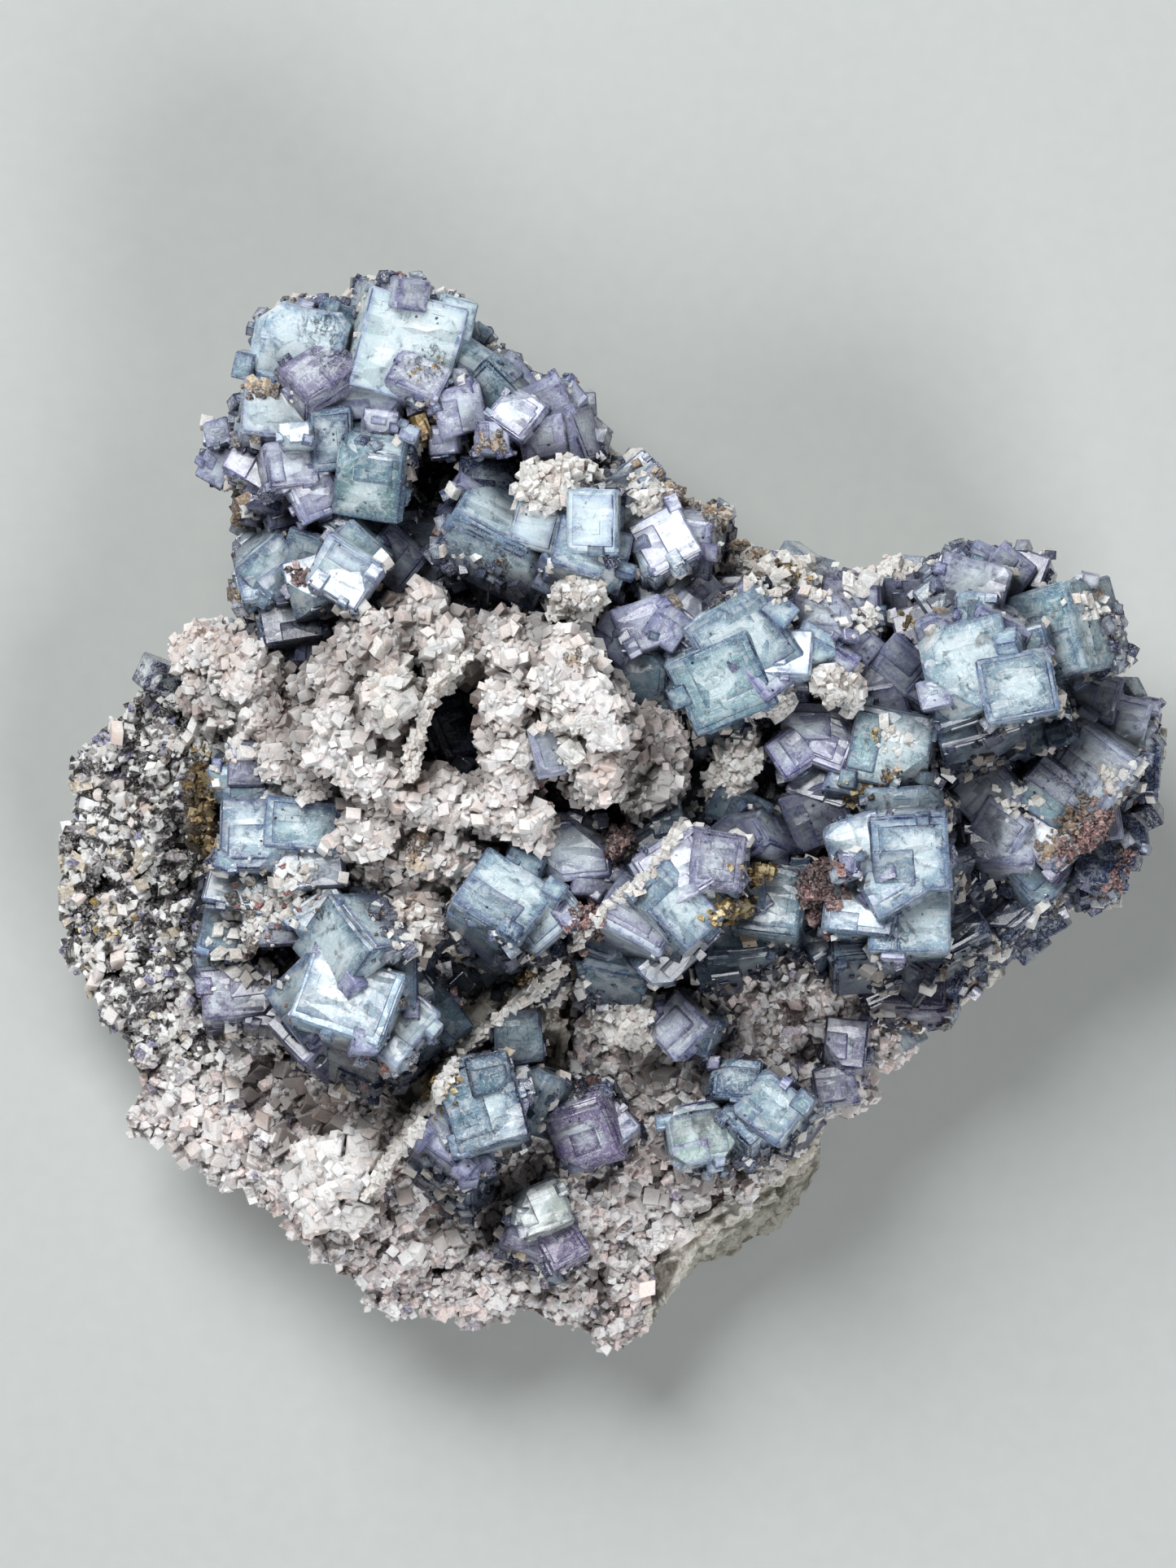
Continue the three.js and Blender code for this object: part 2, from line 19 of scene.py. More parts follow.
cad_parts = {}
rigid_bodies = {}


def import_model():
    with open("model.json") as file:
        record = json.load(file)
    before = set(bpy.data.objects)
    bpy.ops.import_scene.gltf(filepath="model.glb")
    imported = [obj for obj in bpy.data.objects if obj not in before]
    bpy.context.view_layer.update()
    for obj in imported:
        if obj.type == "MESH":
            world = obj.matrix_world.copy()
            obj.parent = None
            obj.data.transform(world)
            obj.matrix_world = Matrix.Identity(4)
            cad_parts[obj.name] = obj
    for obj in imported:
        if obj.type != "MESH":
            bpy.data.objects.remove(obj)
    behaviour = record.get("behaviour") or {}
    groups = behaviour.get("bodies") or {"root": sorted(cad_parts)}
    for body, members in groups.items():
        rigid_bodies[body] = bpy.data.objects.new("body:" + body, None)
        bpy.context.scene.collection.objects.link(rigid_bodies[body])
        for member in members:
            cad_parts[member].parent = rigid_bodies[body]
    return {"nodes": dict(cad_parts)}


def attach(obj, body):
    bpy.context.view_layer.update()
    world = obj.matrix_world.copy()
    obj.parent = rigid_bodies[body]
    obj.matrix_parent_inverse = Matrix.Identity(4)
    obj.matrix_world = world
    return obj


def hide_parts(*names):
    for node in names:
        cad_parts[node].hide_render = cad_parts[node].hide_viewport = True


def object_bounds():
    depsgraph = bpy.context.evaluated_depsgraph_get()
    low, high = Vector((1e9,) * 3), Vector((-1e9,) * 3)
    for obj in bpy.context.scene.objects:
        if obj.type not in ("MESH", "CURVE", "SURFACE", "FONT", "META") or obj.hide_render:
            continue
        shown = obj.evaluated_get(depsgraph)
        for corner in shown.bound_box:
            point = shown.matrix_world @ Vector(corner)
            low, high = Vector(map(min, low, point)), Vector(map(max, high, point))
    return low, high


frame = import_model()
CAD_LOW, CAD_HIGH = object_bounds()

print("nodes in the frame:", len(frame["nodes"]))

# %% [markdown]
# The crystals are placed in millimetres on the rock surface, because that is how one measures a specimen.
# The rock surface is a formula: broad hills that join smoothly, less a few pits. A crystal's place is then
# two numbers across the face and a height over the rock, and it can never float.

# %% The rock surface as a formula
MM = 0.001
FRAME_SHIFT = (-0.4, 0.1)
ROCK_BASE = 13.0

# x, y, radius and height over the base
HILLS = [
    (-30, 48, 20, 19), (-10, 44, 16, 18), (0, 30, 18, 20), (-36, 26, 14, 15), (-26, 10, 18, 19),
    (-6, 12, 18, 21), (20, 17, 18, 21), (46, 20, 16, 21), (33, -5, 17, 20), (8, -8, 16, 20),
    (-14, -10, 16, 18), (-32, -20, 16, 16), (-42, -4, 15, 13), (-16, -36, 15, 12), (58, 2, 14, 10),
    (14, -32, 18, 11), (-52, -20, 18, 8), (-30, -45, 18, 9), (-4, -50, 14, 9), (-56, 6, 14, 8),
]
# x, y, radius and depth
PITS = [
    (-21, 41, 6, 8), (-20, -20, 5.5, 9), (-19, 11, 6, 6), (1, 28, 3, 6), (19.5, 11.5, 4, 5),
    (50, 7.5, 4, 4), (23, 4, 4, 4), (-31, 49, 3, 5), (46, -14, 4, 4), (-37, 22, 5, 3),
]


def bell(x, y, middle_x, middle_y, radius):
    """1 in the middle, and falling smoothly to nothing."""
    return math.exp(-((x - middle_x) ** 2 + (y - middle_y) ** 2) / radius ** 2)


def rock_height(x, y):
    """Height of the rock surface in millimetres."""
    hills = sum((height * bell(x, y, *hill)) ** 3 for *hill, height in HILLS)
    pits = sum(depth * bell(x, y, *pit) for *pit, depth in PITS)
    return ROCK_BASE + hills ** (1 / 3) - pits


def to_frame(x, y, z):
    """Millimetres on the face to metres in the frame."""
    return Vector(((x + FRAME_SHIFT[0]) * MM, (y + FRAME_SHIFT[1]) * MM, z * MM))


print("rock height in the middle:", round(rock_height(0, 0), 1), "mm")

# %% [markdown]
# Every fluorite crystal of the face is listed: its place, its three sizes, its turn in the plane of
# the face, how far it leans and towards where, and a letter for its look. Crystals that grew together share
# a list. Where a crystal is broken in a way that shows, its row ends with the breaks: the signs name a
# corner, or an upright edge where one sign is 0, and a size says how far below it the break runs.

# %% The fluorite crystals, cluster by cluster
# x, y, height over the rock, width, length, depth, turn, lean, direction of the lean, look, breaks
CRYSTALS = {
    "upper_lobe": [
        (-37.4, 58.2, 4, 12, 11, 12, -12, 14, 200, "s", ((-1, 1, 0), 2.2), ((-1, 1, 1), 2.4),
         ((-1, -1, 1), 2.0), ((1, 1, 1), 1.8), ((1, 1, 0), 1.0), ((-1, 0, 1), 1.0)),
        (-33.6, 58.2, 3, 8.5, 9.5, 9, -20, 10, 0, "t"), (-35.7, 53.4, 6, 8.5, 6.5, 7, 38, 35, 90, "l"),
        (-26, 58.6, 5, 12.6, 12.8, 12, -14, 14, 330, "m"), (-20.9, 59.4, 3, 7.5, 7, 8, -38, 15, 60, "m"),
        (-23.6, 53.5, 7, 6.8, 5, 6, -25, 25, 80, "w"), (-24.2, 64.4, 2, 3.2, 3.2, 6, -25, 20, 250, "l"),
        (-41.3, 49, 6, 9, 7.4, 9, -4, 22, 70, "m"), (-38.3, 46.8, 10, 4, 2.8, 4, 4, 21, 121, "m"),
        (-43.2, 43.5, 6, 6.2, 6.4, 7, -30, 20, 120, "v"), (-39.8, 43.2, 8, 6.2, 5.8, 7, 8, 16, 40, "w"),
        (-36.8, 40.8, 5, 6.4, 6.4, 8, 24, 15, 300, "v"), (-41.8, 40, 5, 5.4, 5.6, 7, -12, 25, 100, "v"),
        (-40, 37, 3, 5.4, 4.6, 7, 18, 25, 90, "v"),
        (-29.2, 42.9, 6, 8.4, 9.2, 9, -8, 30, 255, "t", ((-1, 1, 1), 2.4)),
        (-34.8, 46.6, 4, 5.4, 8, 8, 4, 10, 0, "s"), (-24.6, 46.6, 6, 2.2, 2.2, 8, -20, 10, 90, "m"),
        (-28.2, 48.2, 5, 4.6, 3, 7, -8, 10, 90, "w"), (-19.8, 46.5, 6, 3.6, 3.6, 8, 4, 12, 180, "v"),
        (-14.3, 46.5, 7, 4.2, 4.2, 7, 0, 6, 90, "v"), (-18.6, 54.4, 4, 8.2, 8.4, 9, -32, 15, 20, "s"),
        (-18.8, 50.8, 6, 6.4, 6.2, 8, 14, 14, 300, "v"), (-14.2, 53.4, 6, 6.2, 6.4, 7, -45, 24, 230, "t"),
        (-12, 53.6, 3, 7, 3.4, 8, -52, 16, 40, "v"), (-11, 49.4, 7, 5.6, 5.6, 7, -36, 14, 120, "v"),
        (-15.2, 42.6, 4, 7, 4.6, 8, -3, 14, 270, "d"), (-30, 52, 3, 9, 6, 7, 5, 0, 0, "v")],
    "long_block": [
        (-13, 34, 7, 14.6, 9, 9, -27, 45, 63, "s"), (-15.6, 37.2, 5, 10, 6.5, 8, -24, 12, 63, "v"),
        (-1.8, 36.4, 8, 6.3, 8, 9, 0, 8, 180, "m"), (-3, 31.8, 6, 9.4, 7, 8, -14, 24, 60, "s"),
        (-22.6, 33.2, 4, 5.6, 8, 9, -8, 14, 250, "m"), (-8.4, 36, 6, 6.4, 6, 8, -16, 10, 200, "m"),
        (-19, 31.4, 3, 7, 7, 8, 12, 15, 100, "m"), (3.2, 37.2, 4, 6, 7, 8, 20, 10, 0, "m"),
        (-14.6, 29.4, 3, 5, 4, 8, 40, 25, 90, "m"), (-5.4, 29, 3, 7, 6, 8, -30, 12, 60, "m")],
    "left_ledge": [
        (-41.6, 31.6, 5, 7.2, 6.6, 8, 40, 16, 280, "s"), (-43, 28.4, 4, 5.8, 5.6, 8, 14, 20, 90, "s"),
        (-32.2, 30.4, 8, 7.8, 7, 8, -30, 10, 200, "m"),
        (-31.9, 29.4, 11, 6.2, 6.4, 3, -30, 21, 121, "m", ((1, 1, 1), 2.2), ((-1, -1, 1), 0.8)),
        (-30.8, 33.6, 6, 7.2, 5.6, 8, -44, 15, 250, "s"), (-27.8, 31.6, 5, 7, 7.4, 8, -40, 20, 20, "v"),
        (-26.4, 34.4, 3, 6, 6, 8, 6, 10, 90, "s"), (-36.2, 28.2, 5, 6.4, 6.2, 8, 14, 22, 120, "s"),
        (-36.6, 32.4, 4, 6.4, 6.4, 8, -20, 15, 200, "s"), (-29.8, 27, 3, 7.4, 6, 8, -40, 20, 100, "s"),
        (-33.8, 35.8, 4, 3.4, 3.2, 7, -34, 15, 90, "s"), (-39, 24.6, 2, 8.4, 7.6, 8, 10, 15, 90, "d"),
        (-40, 20.6, 1, 8, 7.4, 8, 22, 20, 70, "d"), (-35.8, 21.4, 1, 6.6, 7, 8, -10, 15, 30, "l")],
    "ridge": [
        (16.6, 22.6, 7, 10.8, 10.6, 10, 33, 12, 250, "s"), (14, 17.8, 6, 11, 10, 10, 24, 16, 250, "t"),
        (18.4, 18.6, 5, 7.2, 7, 9, 36, 20, 30, "v"), (13.2, 13.4, 2, 6, 7, 9, 4, 30, 90, "t"),
        (4, 23.2, 7, 6.6, 6.2, 8, 22, 10, 90, "v"), (6.2, 23.6, 8, 5, 5, 7, 55, 15, 0, "v"),
        (1.4, 22.4, 5, 5.4, 5.2, 8, -34, 15, 200, "v"), (4, 17.8, 5, 7.6, 7.2, 9, -6, 12, 200, "t"),
        (8.6, 17.2, 5, 5.2, 7, 9, -30, 15, 60, "v"), (9.6, 23.6, 6, 6, 6.2, 8, 52, 14, 100, "v"),
        (10, 20.6, 6, 7, 7, 8, 8, 8, 90, "v"), (7, 27.8, 3, 8.2, 5.4, 8, 14, 18, 90, "v"),
        (11.2, 27.2, 5, 4.4, 4.4, 8, 42, 12, 60, "v"), (15.2, 27.4, 3, 6.6, 4, 8, 4, 12, 90, "v"),
        (30.4, 25.4, 6, 6.8, 9, 9, 2, 10, 200, "v"), (26, 24.2, 6, 7.6, 6, 9, -5, 12, 90, "v"),
        (22, 19.6, 6, 6.2, 5.8, 8, -5, 15, 120, "m"), (24.2, 21, 7, 5, 5.4, 7, 62, 15, 0, "s"),
        (26.8, 19.6, 6, 6.6, 6.2, 8, -36, 20, 230, "v"), (29, 21.8, 6, 7.4, 4.2, 8, -42, 15, 40, "v"),
        (33, 17.6, 6, 5.6, 5.4, 8, 10, 15, 100, "v"), (34, 14.6, 7, 4.6, 4.4, 7, 20, 10, 270, "v"),
        (34.6, 25, 2, 4.6, 4.6, 8, 25, 12, 0, "v"), (29.6, 13.2, 3, 7, 6, 8, 20, 10, 0, "v"),
        (21, 14, 2, 7, 5, 7, -15, 15, 90, "v")],
    "right_lobe": [
        (42.4, 29.8, 5, 6.6, 5.6, 8, 38, 10, 270, "m"), (44.6, 27.8, 5, 9, 6.6, 9, -14, 14, 100, "v"),
        (45.8, 30.2, 2, 5.4, 5.4, 9, -24, 15, 60, "v"), (48.4, 29.6, 2, 5.4, 5.4, 9, -36, 15, 60, "v"),
        (51.8, 30, 2, 5, 4.4, 9, -22, 15, 120, "l"), (55, 22.8, 6, 12.2, 11.4, 12, 16, 30, 190, "t"),
        (49.7, 15.9, 11, 9.2, 8.2, 8, 11, 7, 100, "s"), (44, 18.2, 7, 11, 11.2, 10, 13, 8, 120, "s"),
        (45.4, 11.8, 5, 11, 8, 10, 16, 24, 110, "s"), (42.6, 13.4, 7, 7.2, 5.4, 8, 22, 20, 90, "s"),
        (41.6, 22, 6, 6.2, 7, 8, 20, 14, 180, "v"), (47.6, 23.2, 6, 7.4, 5.6, 8, -26, 18, 250, "v"),
        (50.8, 22.2, 7, 6.4, 4.6, 8, 16, 20, 250, "s"), (44.6, 25.2, 7, 5, 4.8, 7, -4, 8, 90, "s"),
        (40.6, 26.2, 5, 5.2, 5.4, 8, 34, 15, 100, "s"), (53.6, 12.6, 3, 8.2, 9.4, 12, 20, 24, 160, "t"),
        (57.8, 17.4, 2, 3.8, 3.8, 9, 34, 15, 100, "s"), (36.2, 19.2, 6, 6.2, 5.8, 8, -40, 12, 200, "v"),
        (37.4, 15.6, 5, 5.4, 5, 8, -36, 18, 60, "v"), (38.4, 22, 4, 5.2, 8, 8, 15, 15, 150, "v"),
        (36.8, 27.4, 3, 5.4, 4.6, 8, 4, 12, 200, "v")],
    "plate": [
        (34.8, 8.6, 9, 10, 9.4, 8, -12, 9, 170, "T"), (31, 4.4, 5, 8.4, 6.4, 8, -16, 20, 90, "s"),
        (27, 4.4, 4, 8, 7.2, 8, -22, 18, 120, "v"), (22.4, 8, 7, 5.2, 5, 7, 35, 8, 100, "v"),
        (27, 8.8, 5, 6.4, 6.2, 8, -22, 14, 120, "v"), (24.8, 11, 3, 7.6, 5, 8, 0, 14, 90, "v")],
    "far_right": [
        (60, 6.2, 6, 9.4, 10, 10, -36, 16, 200, "w"), (62.4, 10.8, 4, 8.2, 7.4, 9, -15, 14, 90, "w"),
        (64.6, 7.4, 3, 5.4, 9, 9, -5, 15, 30, "d"), (59.6, 14.2, 3, 6.4, 6, 9, -15, 14, 90, "w"),
        (55, 3.2, 5, 8.4, 4.8, 8, -36, 24, 240, "s"), (56.2, 5.4, 6, 8.4, 4, 8, -38, 20, 240, "w"),
        (54, 7, 4, 5, 4.8, 8, 20, 15, 90, "w"), (55.2, -2.2, 4, 7.4, 7.4, 9, -50, 15, 140, "l"),
        (49, -0.8, 4, 6.4, 6.4, 9, -34, 18, 200, "w"), (47.6, 3.8, 4, 8.2, 7.4, 9, 42, 20, 200, "w"),
        (48.2, -4.8, 4, 8.4, 4.8, 8, -4, 24, 90, "w"), (50.6, -6.8, 3, 9.4, 5, 9, -50, 20, 40, "s"),
        (53.6, -7.2, 3, 5.6, 5.8, 9, -40, 15, 100, "w"), (49, -12.2, 3, 7.6, 5.8, 8, 42, 20, 100, "d"),
        (59.8, -4.8, 2, 6.4, 8.4, 9, -5, 15, 40, "d"), (60, -7.4, 1, 5.6, 5.4, 8, 16, 20, 90, "d"),
        (63.4, -2.2, 1, 4.6, 5.6, 8, 5, 15, 20, "d"), (59, 0.4, 2, 8, 7, 8, 10, 0, 0, "w")],
    "middle": [
        (-5, -4.4, 7, 9.4, 7.8, 8, 6, 10, 90, "v"), (-7.6, -2.2, 4, 6.4, 6.4, 8, -20, 10, 120, "s"),
        (-1.6, -6.8, 6, 7.4, 7, 8, -6, 12, 40, "l"), (-10, -5.8, 6, 4.8, 4.8, 8, -22, 14, 200, "s"),
        (-13.6, -11, 7, 10, 9, 9, -34, 26, 70, "s"), (-8.8, -11.4, 7, 8.2, 8.2, 8, 42, 10, 90, "m"),
        (-10.2, -15, 4, 8.4, 5, 8, -10, 24, 90, "d"), (3.2, -12.4, 7, 9.2, 7.4, 9, -30, 14, 60, "w"),
        (7.2, -11.2, 8, 10, 6.4, 9, -46, 18, 40, "s"), (7.4, -15.2, 5, 10.8, 4.8, 8, 45, 24, 315, "s"),
        (-1, -14.6, 5, 7, 6, 8, -20, 10, 90, "s")],
    "front": [
        (17.6, -2.8, 7, 7.2, 7, 8, 35, 38, 160, "v"), (15.4, 0.4, 4, 7.4, 5, 8, -24, 15, 60, "s"),
        (13, -5.4, 9, 6.6, 7, 8, -8, 6, 90, "l"), (8.4, -7, 6, 8.2, 8.2, 9, 32, 14, 120, "w"),
        (11.2, -11.2, 6, 5.4, 5.4, 8, -40, 15, 60, "s"), (19.8, -10.8, 6, 8.6, 9, 10, -9, 15, 100, "t"),
        (15.6, -15.6, 3, 8.4, 5.6, 8, 6, 20, 90, "t"), (13.2, -18.8, 2, 5.4, 4, 8, 10, 20, 90, "s"),
        (7, -0.8, 4, 4.4, 4.4, 8, 15, 12, 90, "s"), (4.2, -4.8, 3, 6.2, 6, 8, 30, 12, 90, "s"),
        (15, -9, 4, 8, 7, 8, 10, 0, 0, "s")],
    "left_shelf": [
        (-45, 6.2, 6, 4.4, 5.8, 8, 0, 10, 90, "l"), (-46, 3.8, 5, 7.2, 4.8, 8, 3, 10, 90, "s"),
        (-43.8, -2.4, 6, 8, 8.6, 9, -2, 8, 100, "s"), (-38.2, -1.4, 6, 9.6, 6.4, 9, -5, 12, 60, "s"),
        (-37.2, -5.4, 5, 8.8, 9, 9, 6, 15, 100, "w"), (-45, -8.4, 4, 8.2, 7, 8, -12, 18, 120, "s"),
        (-40.4, -11.4, 4, 8.4, 8.2, 9, 0, 10, 180, "l"), (-36.4, -10.6, 4, 6.6, 8.2, 9, -3, 15, 120, "s"),
        (-47.4, -13.2, 3, 6.4, 9, 8, -12, 16, 60, "s"), (-48.4, -18.4, 2, 5.8, 5.8, 8, 12, 15, 90, "s")],
    "pointed": [
        (-31.2, -15.6, 8, 9.8, 9.8, 9, 46, 42, 185, "s"), (-32, -23, 7, 12, 10, 10, -20, 18, 100, "s"),
        (-35.6, -21.6, 5, 8.2, 8, 9, 40, 28, 190, "s"), (-27.2, -26, 7, 9.2, 9, 9, -40, 24, 80, "m"),
        (-31, -27.6, 4, 9.2, 8.2, 9, -30, 36, 80, "d"), (-23.2, -26.2, 5, 8.4, 8, 9, 36, 26, 60, "t"),
        (-35.6, -26.2, 3, 7.2, 8.6, 9, -45, 28, 130, "v"), (-25.2, -21.8, 6, 5.6, 5.4, 8, 35, 15, 90, "s"),
        (-28, -20.6, 6, 8, 7.6, 8, 0, 12, 60, "s"), (-24.8, -18.2, 3, 4.4, 6, 9, -5, 15, 0, "d"),
        (-35, -12.8, 6, 7.4, 5.6, 8, 35, 18, 120, "s"), (-30.2, -10, 3, 6.6, 5.4, 8, 0, 14, 270, "s")],
    "lower_shelf": [
        (-45.6, -22.2, 3, 10, 6.4, 8, 5, 14, 90, "l"), (-41.8, -24.6, 2, 6.4, 4.6, 7, -10, 15, 90, "l")],
    "lower_blue": [
        (-15.6, -36, 6, 9.2, 10.4, 10, 17, 10, 100, "u"), (-19, -40.2, 5, 9.2, 8.2, 9, -37, 24, 60, "v"),
        (-19.2, -43.8, 2, 8.2, 6.6, 8, -35, 30, 80, "s"), (-14.8, -31.8, 8, 5.4, 4.8, 8, 14, 8, 90, "u"),
        (-8.6, -34.8, 4, 4.6, 8, 9, -32, 35, 160, "t"), (-11.2, -34, 3, 5.6, 5.4, 8, 44, 20, 100, "s"),
        (-11.4, -27.4, 4, 5.8, 6.6, 9, 5, 10, 90, "s")],
    "purple": [(-2.8, -37.8, 5, 8.2, 8.6, 8, 20, 24, 255, "p"), (0.4, -38.8, 4, 5, 5, 8, 42, 15, 90, "l")],
    "milky_centre": [
        (9, -25.5, 5, 6.4, 6.4, 8, 45, 14, 180, "w"), (12, -26.3, 3, 3.8, 4.8, 7, -20, 20, 200, "u")],
    "lower_pair": [
        (11.2, -39.4, 4, 8.4, 7.6, 8, 10, 8, 90, "y", ((1, 1, 0), 1.6), ((-1, 1, 0), 1.5), ((1, -1, 0), 1.5),
         ((-1, -1, 0), 1.6)),
        (15.6, -32.8, 3, 6, 5, 8, -5, 14, 90, "u"), (20.5, -35.8, 6, 7.4, 6.8, 8, -38, 14, 150, "s"),
        (17.5, -38.2, 4, 6.6, 6.2, 8, 44, 28, 90, "u"), (22.8, -37.8, 2, 4, 5, 7, -36, 25, 150, "p")],
    "lilac": [
        (29.5, -28.3, 3, 5.2, 6.2, 7, -6, 12, 120, "l"), (27.8, -33.4, 2, 5.2, 4.8, 7, 10, 12, 90, "l")],
    "deep_purple": [
        (37, -21.6, 2, 9.2, 5.8, 9, -3, 20, 90, "p"), (40.6, -20.8, 1, 5, 5.6, 9, -28, 25, 60, "d"),
        (33.4, -21, 2, 4.8, 4.8, 8, 24, 18, 120, "p")],
    "grey_green": [
        (-8.4, -48.8, 3, 6.6, 6, 7, 22, 14, 90, "g"), (-10.2, -52.2, 2, 6.2, 5, 7, -20, 16, 60, "l"),
        (-6, -53.2, 1.5, 5.6, 5.4, 7, 30, 15, 90, "p")],
    "hollow": [(-19, 10.8, 1, 8, 8.4, 8, 20, 20, 60, "d")],
    "window": [(-7.8, 8.8, 6, 5.4, 6.4, 12, 15, 10, 0, "b", ((1, 1, 1), 1.2), ((-1, -1, 1), 1.0))],
    "upper_rim": [
        (-8.4, 51, 4, 5.4, 5.2, 8, 28, 14, 40, "v"), (-8.4, 47.6, 4, 5.4, 5.4, 8, 10, 10, 300, "v"),
        (-5.2, 51.4, 3, 3.8, 3.8, 7, 42, 12, 90, "v"), (-5.2, 46.6, 3, 6, 7, 8, 22, 24, 200, "v")],
    "left_tip": [
        (-47.6, 47.2, 3, 3.6, 3.4, 7, 15, 20, 150, "v"), (-47.6, 44.3, 2, 4.2, 5.2, 7, -28, 20, 200, "v")],
    "violet_block": [
        (9.6, 34.2, 6, 8, 7.6, 9, -6, 18, 220, "v"), (7.2, 33.6, 7, 7, 7, 8, 28, 15, 120, "v"),
        (6, 31, 6, 5.6, 4, 7, 18, 30, 90, "m")],
    "small_block": [
        (1.3, 41.4, 2, 4.6, 3.8, 8, 20, 20, 250, "m"), (3.6, 41.6, 1, 4.6, 4.4, 8, 42, 15, 90, "m")],
    "apron": [
        (26.2, 0.6, 3, 8, 7.6, 8, 20, 14, 200, "v"), (36.8, -3.2, 7, 9.6, 9.6, 10, 3, 14, 260, "s"),
        (36, 0.8, 5, 9.8, 4.8, 9, 2, 12, 90, "s"), (31, -3.8, 5, 7.4, 7.4, 9, 16, 14, 150, "s"),
        (35, -7.6, 6, 9.4, 7.4, 9, 30, 12, 100, "s"), (40, -7.4, 4, 6.6, 8.2, 9, -10, 20, 200, "s"),
        (31, -11.2, 6, 8.8, 7.4, 9, -5, 14, 120, "s"), (31.6, -16, 4, 9.2, 7, 9, 5, 36, 90, "s"),
        (36.6, -12.6, 7, 10.2, 9, 9, 0, 10, 90, "s"), (37.4, -16.6, 4, 8.4, 7.4, 9, -35, 30, 60, "d"),
        (41.4, -14, 4, 9.2, 8.4, 9, 28, 24, 110, "d"), (43.2, -10, 2, 8, 4, 10, 50, 25, 150, "d"),
        (27.4, -15.2, 3, 6.4, 4.8, 8, 30, 24, 120, "s"), (29.1, -5.6, 9, 2.2, 2.4, 7, -5, 6, 90, "v")],
    "layered": [
        (0.6, -18.2, 6, 8.4, 7.2, 9, -14, 32, 76, "t"), (1.5, -21.4, 3, 4.8, 4.8, 8, 42, 25, 90, "t")],
}
print("fluorite crystals:", sum(len(rows) for rows in CRYSTALS.values()))

# %% [markdown]
# A look is two colours and a clearness. Fluorite grows in zones, so a crystal's heart and its rim differ:
# the rim is a darker blue or violet. The clearness says how much light passes through.

# %% The looks of the crystals


def linear(*screen):
    """A screen colour from 0 to 255 as the linear colour that Blender works in."""
    return tuple(c / 255 / 12.92 if c < 11 else ((c / 255 + 0.055) / 1.055) ** 2.4 for c in screen)


LOOKS = {
    "s": ((167, 198, 213), (72, 82, 150), 0.35),    # sky blue
    "m": ((205, 223, 229), (98, 108, 168), 0.15),   # milky
    "t": ((154, 192, 202), (50, 74, 134), 0.35),    # clear teal
    "T": ((172, 206, 214), (36, 46, 114), 0.30),    # teal with a dark rim
    "v": ((192, 198, 224), (88, 82, 158), 0.30),    # pale violet
    "l": ((178, 178, 204), (82, 76, 136), 0.35),    # lilac
    "d": ((72, 92, 136), (20, 28, 84), 0.50),       # deep blue
    "p": ((158, 144, 182), (60, 44, 112), 0.40),    # purple
    "g": ((190, 202, 198), (100, 108, 130), 0.30),  # grey green
    "w": ((198, 206, 222), (88, 84, 148), 0.20),    # smoky white
    "y": ((184, 208, 198), (98, 90, 160), 0.35),    # pale green
    "b": ((206, 214, 230), (140, 144, 188), 0.25),  # pale blue lilac
    "u": ((136, 166, 186), (40, 56, 116), 0.40),    # deeper blue
}
print("looks:", len(LOOKS))

# %% [markdown]
# Every piece passes through the same few steps: a mesh is put in the scene, its points are read as rows of
# numbers, and what a finish needs is written as an attribute. These helpers do that. A node is added in one
# call with its inputs, so that a tree reads like a recipe.

# %% Helpers for meshes and for trees of nodes
FIELD_OF = {"FLOAT": "value", "INT": "value", "FLOAT_VECTOR": "vector", "FLOAT_COLOR": "color"}


def placed(name, data):
    """A new object in the scene, from a mesh, a lamp or a camera."""
    thing = bpy.data.objects.new(name, data)
    bpy.context.scene.collection.objects.link(thing)
    return thing


def mesh_from(bm, name):
    """Turns an edit mesh into a mesh and frees it."""
    mesh = bpy.data.meshes.new(name)
    bm.to_mesh(mesh)
    bm.free()
    return mesh


def vertex_rows(mesh, field="co"):
    """The places or the normals of all vertices, one row each."""
    values = np.empty(len(mesh.vertices) * 3)
    mesh.vertices.foreach_get(field, values)
    return values.reshape(-1, 3)


def corner_vertices(mesh):
    """The vertex that each face corner belongs to."""
    numbers = np.empty(len(mesh.loops), dtype=np.int32)
    mesh.loops.foreach_get("vertex_index", numbers)
    return numbers


def write_layer(mesh, name, kind, domain, values):
    """Writes an attribute that a tree or a finish can read."""
    layer = mesh.attributes.get(name) or mesh.attributes.new(name, kind, domain)
    precision = np.int32 if kind == "INT" else np.float32
    layer.data.foreach_set(FIELD_OF[kind], np.asarray(values, dtype=precision).ravel())


def feed(tree, target, value):
    """Links a socket, or sets a plain value."""
    value = getattr(value, "socket", value)
    if isinstance(value, bpy.types.NodeSocket):
        tree.links.new(value, target)
    else:
        target.default_value = value


def add_node(tree, kind, inputs=None, **settings):
    """Adds a node with its settings, and feeds the inputs that are given by name or number."""
    node = tree.nodes.new(kind)
    for name, value in settings.items():
        setattr(node, name, value)
    for key, value in (inputs or {}).items():
        feed(tree, node.inputs[key], value)
    return node


def new_tree(name, **inputs):
    """A Geometry Nodes tree with named inputs and one geometry as its output."""
    tree = bpy.data.node_groups.new(name, "GeometryNodeTree")
    for label, kind in inputs.items():
        tree.interface.new_socket(label, in_out="INPUT", socket_type="NodeSocket" + kind)
    tree.interface.new_socket("Geometry", in_out="OUTPUT", socket_type="NodeSocketGeometry")
    return tree, tree.nodes.new("NodeGroupInput").outputs


